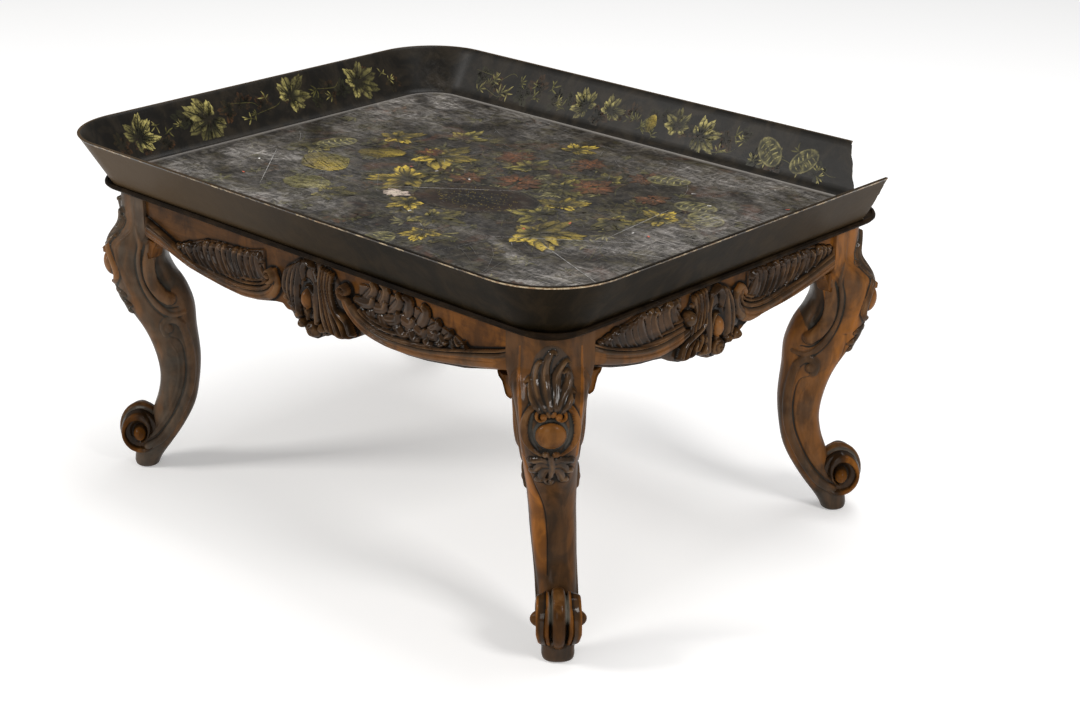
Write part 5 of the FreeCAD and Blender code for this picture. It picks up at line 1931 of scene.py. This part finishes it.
    def disc(
        self, place: Place, radius: Callable[[np.ndarray], np.ndarray], colour: Callable,
        rings: Sequence[float] = (0.0, 0.3, 0.6, 0.82, 0.92, 1.0),
    ) -> None:
        """A patch round a middle point.

        Args:
            place: where it goes.
            radius: its edge's distance from the middle for each angle.
            colour: its colour and cover for each angle and share of the radius.
            rings: shares of the radius at which it has points.
        """
        steps = 72
        angle = np.linspace(-math.pi, math.pi, steps, endpoint=False)
        shares = np.append(np.repeat(rings[1:], steps), 0)
        angles = np.append(np.tile(angle, len(rings) - 1), 0)
        flat = polar(angles, radius(angles) * shares)
        faces = [face[::-1] for face in grid_quads(len(rings) - 1, steps, closed=True)]
        faces += [[n, (n + 1) % steps, len(flat) - 1] for n in range(steps)]
        tint, strength = colour(angles, shares)
        self.add(place, flat, faces, tint, strength * np.where(shares > 0.99, 0.15, 1))

    def blade(
        self, place: Place, points: Points, width: float, tint: Colour, edge: Colour | None = None,
        taper: Sequence[float] = (0.1, 1, 0.8, 0.05), cover: float = 1.0,
    ) -> None:
        """A single crisp stroke along a path.

        Args:
            place: where it goes.
            points: a few points of its path.
            width: its half width.
            tint: its colour.
            edge: colour of its edges, or None for the same.
            taper: share of the width from start to end.
            cover: how strongly it covers.
        """
        count = 9
        path = smooth_path(points, count)
        sides = left_of(path) * spread(taper, np.linspace(0, 1, count))[:, None] * width
        flat = np.concatenate([path + sides * share for share in (-1.0, -0.6, 0.0, 0.6, 1.0)])
        edge = tint if edge is None else edge
        tints = np.repeat(np.array([edge, edge, tint, tint, edge], float), count, axis=0)
        covers = np.repeat(np.array([0.1, 1, 1, 1, 0.1]) * cover, count)
        self.add(place, flat, grid_quads(5, count), tints, covers)

    def vine_leaf(
        self, place: Place, size: float, light: Colour = GOLD, dark: Colour = MOSS, cover: float = 1.0,
        lobes: int = 5, fine: int = 6,
    ) -> None:
        """A lobed leaf of brush strokes, dark in its middle and bright at its tips.

        Args:
            place: where it goes.
            size: length of its longest lobe.
            light: colour of its tips.
            dark: colour of its middle.
            cover: how strongly it covers.
            lobes: how many lobes it has.
            fine: how many strokes each lobe has.
        """
        tips = np.radians(np.linspace(-128, 128, lobes)) + RANDOM.normal(0, 0.08, lobes)
        reach = (0.58 + 0.42 * np.cos(tips * 0.7)) * RANDOM.uniform(0.85, 1.1, lobes)
        total = lobes * fine
        lobe = np.repeat(np.arange(lobes), fine)
        spacing = np.tile(np.linspace(-1, 1, fine), lobes) + RANDOM.normal(0, 0.07, total)
        angle = tips[lobe] + spacing * (1.75 / lobes + 0.12)
        length = size * reach[lobe] * (1 - 0.5 * np.abs(spacing) ** 1.1) * RANDOM.uniform(0.92, 1.06, total)
        foot, end = polar(tips[lobe], 0.1 * size), polar(angle, length)
        bend = polar(angle + math.pi / 2, RANDOM.normal(0, 0.05, total) * size)
        paths = arcs(foot, foot * 0.45 + end * 0.55 + bend, end)
        swing = RANDOM.uniform(0, 6.28)
        tone = np.clip(0.62 + 0.38 * np.cos(angle - swing) + RANDOM.normal(0, 0.12, total), 0.08, 1)
        order = np.argsort(tone)
        widths = size * (0.66 / fine + 0.02) * (0.7 + 0.3 * reach[lobe])
        self.brush(
            place, paths[order], widths[order], np.array(dark, float), blend(dark, light, tone)[order],
            cover * (0.55 + 0.45 * tone[order]), taper=(0.3, 0.7, 1.0, 0.85, 0.05),
        )
        veins = polar(tips[:, None], size * reach[:, None] * np.linspace(0, 0.8, 5))
        vein_colour = np.array(dark)
        self.brush(
            place, veins, np.full(lobes, size * 0.022), vein_colour * 0.5, vein_colour, cover * 0.8, (1, 0.2)
        )

    def sprig(
        self, place: Place, size: float, leaves: int = 5, tint: Colour = OLIVE, tip: Colour = PALE_GOLD,
        cover: float = 0.9,
    ) -> None:
        """A small stem with slim leaves.

        Args:
            place: where it goes.
            size: length of its leaves.
            leaves: how many leaves it has.
            tint: its colour.
            tip: colour of its leaves' tips.
            cover: how strongly it covers.
        """
        angle = np.radians(np.linspace(-75, 75, leaves)) + RANDOM.normal(0, 0.14, leaves)
        length = size * RANDOM.uniform(0.7, 1.08, leaves)
        start = np.column_stack([np.zeros(leaves), -RANDOM.uniform(0, 0.5, leaves) * size])
        end = polar(angle, length)[:, ::-1] + start * 0.6
        bend = polar(-angle, RANDOM.normal(0, 0.1, leaves) * length)
        paths = arcs(start, start * 0.5 + end * 0.5 + bend, end)
        tint = np.array(tint)
        self.brush(
            place, paths, np.full(leaves, size * 0.11), tint, np.array(tip), cover, (0.5, 0.9),
            (0.12, 0.7, 1.0, 0.75, 0.05),
        )
        stem = np.array([[(0, -size * 0.9), (size * 0.05, -size * 0.4), (0, 0)]])
        self.brush(place, stem, np.array([size * 0.03]), tint, tint, cover)

    def spotted_leaf(self, place: Place, size: float) -> None:
        """An oval leaf with a pale edge and two rows of pale spots.

        Args:
            place: where it goes.
            size: half its length.
        """

        def radius(angle: np.ndarray) -> np.ndarray:
            """The edge of the oval, a little scalloped."""
            return oval(size, 0.68, angle) * (1 + 0.03 * np.abs(np.sin(angle * 11)))

        def colour(angles: np.ndarray, shares: np.ndarray) -> tuple[np.ndarray, np.ndarray]:
            """Dark green, pale toward the edge."""
            tone = np.clip(0.15 + 0.6 * smoothstep(shares, 0.82, 1.0) + 0.2 * np.sin(angles * 5), 0, 1)
            return blend(MOSS, PALE_GOLD, tone), 0.45 + 0.4 * tone

        self.disc(place, radius, colour)
        for row in (-1, 1):
            for x in size * (-0.6 + 0.3 * np.arange(5)):
                y = row * size * 0.27 * (1 - 0.4 * (x / size) ** 2)
                path = [(x - size * 0.05, row * 1.0), (x + size * 0.05, y * 1.55)]
                self.blade(place, path, size * 0.07, PALE_GOLD, OLIVE, (0.4, 1, 0.6), 0.6)

    def flower(self, place: Place, size: float, cover: float) -> None:
        """A full flower of short strokes, mottled and soft at its edge.

        Args:
            place: where it goes.
            size: its radius.
            cover: how strongly it covers.
        """
        strokes = 46
        angle = RANDOM.uniform(0, 6.28, strokes)
        ring = np.sqrt(np.linspace(1, 0.02, strokes))
        length = size * ring * RANDOM.uniform(0.85, 1.12, strokes)
        t = np.linspace(0.35, 1, 4)
        twist = polar(angle + math.pi / 2, RANDOM.normal(0, 0.1, strokes) * length)[:, None]
        paths = polar(angle[:, None], length[:, None] * t) + twist * (4 * t * (1 - t))[:, None]
        tone = RANDOM.uniform(0, 1, strokes)
        widths = size * RANDOM.uniform(0.11, 0.19, strokes)
        cover = cover * RANDOM.uniform(0.35, 0.9, strokes)
        self.brush(
            place, paths, widths, blend(BROWN, RUST, tone), blend(RUST, BROWN, ring * 0.8), cover, (0.7, 0.25)
        )

    def fruit(
        self, place: Place, size: float, light: Colour = GOLD, dark: Colour = OLIVE, ratio: float = 0.6
    ) -> None:
        """A round fruit of long strokes, lit from one side.

        Args:
            place: where it goes.
            size: half its width.
            light: colour where it is lit.
            dark: colour in its shade.
            ratio: its height as a share of its width.
        """
        count = 28
        level = np.linspace(-0.94, 0.94, count)
        half = size * np.sqrt(1 - level**2) * RANDOM.uniform(0.93, 1.03, count)
        t = np.linspace(-1, 1, 6)
        bow = 0.12 * size * level[:, None] * (1 - t**2)[None]
        paths = np.stack([half[:, None] * t, (level * size * ratio)[:, None] + bow], -1)
        tone = np.clip(0.95 - 0.7 * np.abs(level + 0.25) + RANDOM.normal(0, 0.05, count), 0.1, 1)
        widths, cover = np.full(count, size * ratio * 0.1), RANDOM.uniform(0.75, 1.0, count)
        foot, tip = blend(dark, light, tone * 0.45), blend(dark, light, tone)
        self.brush(place, paths, widths, foot, tip, cover, (0.55, 0.9), (0.35, 0.9, 1, 0.9, 0.35))

    def tendril(self, place: Place, points: Points, width: float, cover: float) -> None:
        """A thin curved stem.

        Args:
            place: where it goes.
            points: a few points of its path.
            width: its half width.
            cover: how strongly it covers.
        """
        path, tint = smooth_path(points, 15)[None], np.array(OLIVE)
        self.brush(place, path, np.array([width]), tint, tint, cover, (0.7, 0.7), (0.6, 1, 0.6))

    def build(self, material: Material) -> bpy.types.Object:
        """Make the mesh of all strokes.

        Args:
            material: the paint.

        Returns:
            The mesh.
        """
        values = {key: np.concatenate(numbers) for key, numbers in self.values.items()}
        points = np.concatenate(self.points) * MM
        thing = make_object("tray_painting", points, self.faces, [material], sharp=60, **values)
        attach(thing, "tray")
        return thing


def paint_wall(
    painting: Painting, side: str, leaves: Sequence[tuple[float, float, float, float]], run: float
) -> None:
    """Paint one wall: large leaves where listed, sprigs and stems between them.

    Args:
        painting: what the strokes are added to.
        side: which wall.
        leaves: place along and up the wall, turn and size of each large leaf.
        run: how far the painting reaches each way from the wall's middle.
    """
    painting.haze, painting.layer = 0.12, 0.04
    for along in np.arange(-run, run, 26):
        at = along + RANDOM.uniform(-12, 12)
        tint = BROWN if RANDOM.random() < 0.6 else MOSS
        painting.vine_leaf(painting.on_wall(side, at, RANDOM.uniform(15, 40), RANDOM.uniform(0, 360)),
                           RANDOM.uniform(14, 26), tint, MOSS, RANDOM.uniform(0.3, 0.6), fine=4)
    for along, up, turn, size in leaves:
        painting.vine_leaf(
            painting.on_wall(side, along, up, turn), size, WALL_GOLD, cover=RANDOM.uniform(0.85, 1.0), lobes=7
        )
    for along in np.arange(-run, run, 15):
        at = along + RANDOM.uniform(-7, 7)
        if any(abs(at - leaf[0]) < leaf[3] * 0.75 for leaf in leaves):
            continue
        kind = RANDOM.random()
        tint = WALL_GOLD if kind < 0.6 else OLIVE
        painting.sprig(painting.on_wall(side, at, RANDOM.uniform(12, 44), RANDOM.uniform(-110, 110)),
                       RANDOM.uniform(8, 14), int(RANDOM.integers(3, 7)), OLIVE, tint,
                       cover=RANDOM.uniform(0.5, 0.95))
        if kind < 0.4:
            bow = RANDOM.uniform(-14, 14)
            painting.tendril(painting.on_wall(side, at, RANDOM.uniform(15, 40), RANDOM.uniform(-30, 30)),
                             [(-20, 0), (-5, bow * 0.5), (14, bow), (22, bow * 0.6)], 0.5, 0.6)


def paint_tray(shape: TrayShape, material: Material) -> bpy.types.Object:
    """Paint leaves, flowers and fruit, scratches and flecks on the tray.

    Args:
        shape: the tray that is painted.
        material: the paint.

    Returns:
        The mesh of all strokes.
    """
    painting = Painting(shape)
    paint_wall(
        painting, "left", [(-196, 28, 35, 36), (-90, 30, 200, 46), (40, 33, 40, 38), (150, 30, 20, 42)], 215
    )
    paint_wall(
        painting, "back", [(-100, 26, 150, 30), (-60, 28, 60, 26), (48, 30, 100, 30), (84, 26, 10, 34)], 285
    )
    paint_wall(painting, "right", [(-60, 30, 190, 36), (70, 28, 20, 34)], 200)
    paint_wall(
        painting, "front", [(-210, 28, 20, 34), (-70, 30, 160, 36), (80, 28, 30, 32), (220, 30, 190, 34)], 290
    )
    painting.spotted_leaf(painting.on_wall("back", 190, 28, -38), 21)
    painting.spotted_leaf(painting.on_wall("back", 240, 27, 40), 20)
    painting.fruit(painting.on_wall("back", 8, 26, 80), 12, ratio=0.6)
    painting.haze, painting.layer = 0.8, 0.04
    for number in range(460):
        x, y = RANDOM.normal(0, 185), RANDOM.normal(10, 130)
        if abs(x) > 335 or abs(y) > 245:
            continue
        place = painting.on_floor(x, y, RANDOM.uniform(0, 360))
        kind = RANDOM.random() + (0.25 if number < 150 else 0.0)
        if kind < 0.45:
            painting.sprig(place, RANDOM.uniform(8, 22), int(RANDOM.integers(3, 8)), OLIVE,
                           PALE_GOLD if kind < 0.14 else (0.13, 0.12, 0.045), cover=RANDOM.uniform(0.3, 0.8))
        elif kind < 0.62:
            painting.tendril(place, [(-34, 0), (-12, 8), (12, 6), (34, -6)], 0.6, 0.5)
        else:
            light = (OLIVE, BROWN, (0.24, 0.19, 0.05), (0.09, 0.08, 0.045), (0.02, 0.017, 0.014))[number % 5]
            painting.vine_leaf(place, RANDOM.uniform(12, 36), light, MOSS, RANDOM.uniform(0.3, 0.8), fine=4)
    painting.haze = 0.15
    painting.disc(
        painting.on_floor(18, -28, 20), lambda angle: oval(74, 0.66, angle),
        lambda _,
        shares: (blend((0.006, 0.004, 0.003), BROWN, shares**3 * 0.4), 1 - smoothstep(shares, 0.6, 1.0)),
        rings=(0, 0.3, 0.5, 0.65, 0.8, 0.9, 1),
    )
    painting.haze = 0.4
    seeds = 190
    radius, angle = 58 * np.sqrt(RANDOM.random(seeds)), RANDOM.uniform(0, 6.28, seeds)
    middle = polar(angle, radius) * (1, 0.6)
    paths = middle[:, None] + polar(angle * 7)[:, None] * np.array((-1.6, 0, 1.6))[None, :, None]
    cover = RANDOM.uniform(0.2, 0.8, seeds)
    painting.brush(
        painting.on_floor(18, -28, 0), paths, np.full(seeds, 0.6), np.array(OLIVE), np.array(GOLD), cover
    )
    painting.fruit(painting.on_floor(-210, -52, -20), 40, GOLD, OLIVE, 0.62)
    painting.fruit(painting.on_floor(-165, -120, 15), 30, PALE_GOLD, OLIVE, 0.7)
    painting.fruit(painting.on_floor(-190, 20, 30), 30, GOLD, MOSS, 0.6)
    for x, y, turn, size in (
        (-130, 55, 20, 62), (-92, -30, 215, 58), (-225, 75, 60, 40), (150, -70, 35, 68), (105, 20, 120, 40),
        (-25, -90, 250, 36), (215, 60, 170, 40), (60, -150, 300, 34), (-30, 190, 80, 34),
    ):
        painting.vine_leaf(painting.on_floor(x, y, turn), size, GOLD, (0.10, 0.085, 0.025))
    for x, y, turn, size in (
        (60, 70, 40, 44), (-20, 100, 160, 40), (-70, 10, 280, 40), (110, -20, 200, 44), (30, -110, 10, 46),
        (-160, 130, 100, 40), (180, 20, 330, 40), (80, 130, 220, 36), (-120, -130, 30, 40),
        (-260, -20, 140, 36),
    ):
        painting.vine_leaf(painting.on_floor(x, y, turn), size, (0.33, 0.27, 0.06), MOSS, 0.85)
    painting.haze = 0.35
    for x, y, size in (
        (-60, 120, 27), (20, 155, 28), (82, 95, 33), (-150, 60, 20), (105, 165, 26), (10, 50, 34),
        (-45, 20, 24), (245, -205, 20), (160, 110, 24),
    ):
        painting.flower(painting.on_floor(x, y, RANDOM.uniform(0, 90)), size, cover=RANDOM.uniform(0.9, 1.0))
    painting.haze = 0.7
    for x, y, turn in ((215, 120, 10), (250, 95, 160), (130, 175, 20), (-260, 10, 70), (40, -200, 100)):
        painting.spotted_leaf(painting.on_floor(x, y, turn), 26)
    painting.haze = 0.1
    chip = RANDOM.normal(0, 0.16, 24)
    around = np.linspace(-math.pi, math.pi, len(chip))
    painting.disc(
        painting.on_floor(-62, -78, 10),
        lambda angle: oval(19, 0.6, angle) * (1 + np.interp(angle, around, chip)),
        lambda _, shares: (blend(CREAM, (0.5, 0.4, 0.34), shares), np.ones(len(shares))),
    )
    for _ in range(14):
        x, y = RANDOM.uniform(-300, 320), RANDOM.uniform(-220, 240)
        tint = WHITE if RANDOM.random() < 0.45 else (0.6, 0.13, 0.08)
        painting.blade(
            painting.on_floor(x, y, RANDOM.uniform(0, 180)), [(-2.4, 0), (2.4, 0)], 1.5, tint,
            taper=(0.6, 1, 0.6)
        )
    scratch(painting)
    return painting.build(material)


def scratch(painting: Painting) -> None:
    """Add scratches and a few long straight pale lines.

    Args:
        painting: what they are added to.
    """
    for start, end in (
        ((180, -90), (330, -150)), ((215, -60), (340, -20)), ((-90, -70), (40, 30)), ((120, -110), (300, 20)),
        ((-290, -60), (-200, -160)), ((200, 90), (215, -30)),
    ):
        painting.blade(
            painting.on_floor(0, 0, 0), [start, end], 0.45, WHITE, taper=(0.4, 1, 1, 0.4), cover=0.55
        )
    count = 1000
    x, y = RANDOM.uniform(-345, 345, count), RANDOM.uniform(-250, 250, count)
    keep = RANDOM.random(count) < bloom_at(x, y) + 0.25
    middle = np.stack([x, y], 1)[keep]
    count = len(middle)
    length, angle = RANDOM.exponential(10, count) + 1.5, RANDOM.normal(0.5, 0.8, count)
    way = polar(angle, length)
    bend = polar(angle + math.pi / 2, length * RANDOM.normal(0, 0.08, count))
    shares = np.array((-1.0, -0.33, 0.33, 1.0))[None, :, None]
    paths = middle[:, None] + way[:, None] * shares + bend[:, None] * (1 - shares**2)
    widths, white = RANDOM.uniform(0.12, 0.32, count), np.array(WHITE)
    cover = RANDOM.uniform(0.15, 0.6, count)
    painting.brush(
        painting.on_floor(0, 0, 0), paths, widths, white, white, cover, (0.7, 0.7), (0.2, 1, 0.7, 0.1)
    )


# Stage


@dataclass(frozen=True)
class Softbox:
    """A rectangular light.

    Attributes:
        place: its place in metres.
        target: the point it faces.
        size: its side in metres.
        power: in watts.
        colour: its colour.
    """

    place: Sequence[float]
    target: Sequence[float]
    size: float
    power: float
    colour: Sequence[float] = (1.0, 1.0, 1.0)


FLOOR_REACH = 14.0
FLOOR_COLOUR = (0.88, 0.88, 0.88)
FLOOR_GLOW = 0.3
SKY_STRENGTH = 0.28
SOFTBOXES = [
    Softbox((-2.4, -3.0, 2.3), (0, 0, 0.3), 1.1, 92, (1.0, 0.98, 0.95)),
    Softbox((3.4, -0.2, 2.3), (0.2, 0, 0.3), 1.0, 66, (1.0, 0.98, 0.96)),
    Softbox((0.0, 0.8, 3.4), (0, 0, 0.3), 2.0, 60),
    Softbox((1.4, -2.6, 0.9), (0.1, 0, 0.2), 0.9, 12, (1.0, 0.97, 0.93)),
]


@dataclass(frozen=True)
class Lens:
    """The camera that was fitted to the photograph.

    Attributes:
        place: its place in metres.
        back: direction from what it sees back to it.
        roll: its roll in degrees.
        focal: focal length in millimetres for a sensor 36 mm wide.
    """

    place: Sequence[float] = (1.60238, -1.60502, 1.09258)
    back: Sequence[float] = (0.63385, -0.67359, 0.38013)
    roll: float = 0.3965
    focal: float = 69.495


def set_camera(lens: Lens) -> None:
    """Put the camera at the photograph's viewpoint.

    Args:
        lens: the camera that was fitted to it.
    """
    back = Vector(lens.back).normalized()
    right = Vector((0, 0, 1)).cross(back).normalized()
    up = back.cross(right)
    roll = math.radians(lens.roll)
    right, up = right * math.cos(roll) + up * math.sin(roll), up * math.cos(roll) - right * math.sin(roll)
    turn = Matrix((right, up, back)).transposed().to_4x4()
    data = bpy.data.cameras.new("camera")
    data.lens = lens.focal
    data.sensor_width = 36
    camera = bpy.data.objects.new("camera", data)
    camera.matrix_world = Matrix.Translation(lens.place) @ turn
    bpy.context.scene.collection.objects.link(camera)
    bpy.context.scene.camera = camera


def set_stage() -> None:
    """Make the pale floor, the soft lights and the sky."""
    graph = Graph("studio_floor")
    material = graph.finish(FLOOR_COLOUR, 0.9, specular=0.0)
    graph.put(graph.shader.inputs["Emission Color"], (1, 1, 1, 1))
    graph.put(graph.shader.inputs["Emission Strength"], FLOOR_GLOW)
    points = np.array([(-1, -1, 0), (1, -1, 0), (1, 1, 0), (-1, 1, 0)]) * FLOOR_REACH
    make_object("studio_floor", points, [[0, 1, 2, 3]], [material])
    for number, box in enumerate(SOFTBOXES):
        data = bpy.data.lights.new(f"softbox_{number}", "AREA")
        data.energy, data.size, data.color = box.power, box.size, box.colour
        light = bpy.data.objects.new(f"softbox_{number}", data)
        direction = Vector(box.target) - Vector(box.place)
        turned = direction.to_track_quat("-Z", "Y").to_matrix().to_4x4()
        light.matrix_world = Matrix.Translation(box.place) @ turned
        bpy.context.scene.collection.objects.link(light)
    world = bpy.data.worlds.new("studio")
    world.use_nodes = True
    sky = world.node_tree.nodes["Background"].inputs
    sky["Color"].default_value = (1, 1, 1, 1)
    sky["Strength"].default_value = SKY_STRENGTH
    bpy.context.scene.world = world
    bpy.context.scene.view_settings.view_transform = "Standard"


NODE_MATERIALS = {
    "lip_moulding": "moulding",
    "seat_board_front": "board_long",
    "seat_board_back": "board_long",
    "seat_board": "board_short",
    "corner_block": "board_long",
    "mitre_keys": "board_long",
    "block_screws": "screws",
}
TENON = 28.0
LAP = 7.0
POST_CORNER = (352.2, 259.7)


def dress_nodes(nodes: dict[str, bpy.types.Object], materials: dict[str, Material]) -> None:
    """Give the CAD nodes that stay their materials.

    Args:
        nodes: the nodes by name.
        materials: the materials by what they cover.
    """
    for name, node in nodes.items():
        for start, key in NODE_MATERIALS.items():
            if name.startswith(start):
                node.data.materials.clear()
                node.data.materials.append(materials[key])
                break


def main() -> None:
    """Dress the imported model."""
    logging.basicConfig(level=logging.INFO)
    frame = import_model()
    materials = make_materials()
    dress_nodes(frame["nodes"], materials)
    low, high = (np.array(corner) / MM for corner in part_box("tray"))
    shape = TrayShape((high[0], high[1]), low[2], high[2])
    TrayBody(shape).build(materials)
    paint_tray(shape, materials["paint"])
    log.info("tray done")
    for name, pattern, turn, axis in (
        ("front", LONG_PATTERN, 0, 1), ("right", SHORT_PATTERN, 90, 0), ("back", LONG_PATTERN, 180, 1),
        ("left", SHORT_PATTERN, -90, 0),
    ):
        low, high = (np.array(corner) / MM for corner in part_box(f"apron_{name}"))
        half = max(high[:2] - low[:2]) / 2 - TENON + LAP
        face = min(abs(low[axis]), abs(high[axis])) + Apron.THICKNESS
        material = materials["rail_long" if axis else "rail_short"]
        Apron(f"apron_{name}", pattern, half, face, high[2], turn).build(material)
        log.info("apron_%s done", name)
    # The last number is how dusty grey the plain faces are; on the front left leg it is partly a painted sheen.
    for name, side_x, side_y, warm, lean, dull in (
        ("front_left", -1, -1, 0.12, 0.0, 0.13), ("front_right", 1, -1, 0.16, 1.0, 0.02),
        ("back_right", 1, 1, 0.8, 0.0, 0.06), ("back_left", -1, 1, 0.3, 0.0, 0.06),
    ):
        _, high = (np.array(corner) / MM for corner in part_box(f"leg_{name}"))
        corner = (side_x * POST_CORNER[0], side_y * POST_CORNER[1])
        Leg(f"leg_{name}", corner, high[2], warm, lean, dull).build(materials["carving"])
        log.info("leg_%s done", name)
    set_camera(Lens())
    set_stage()


if __name__ == "__main__":
    main()
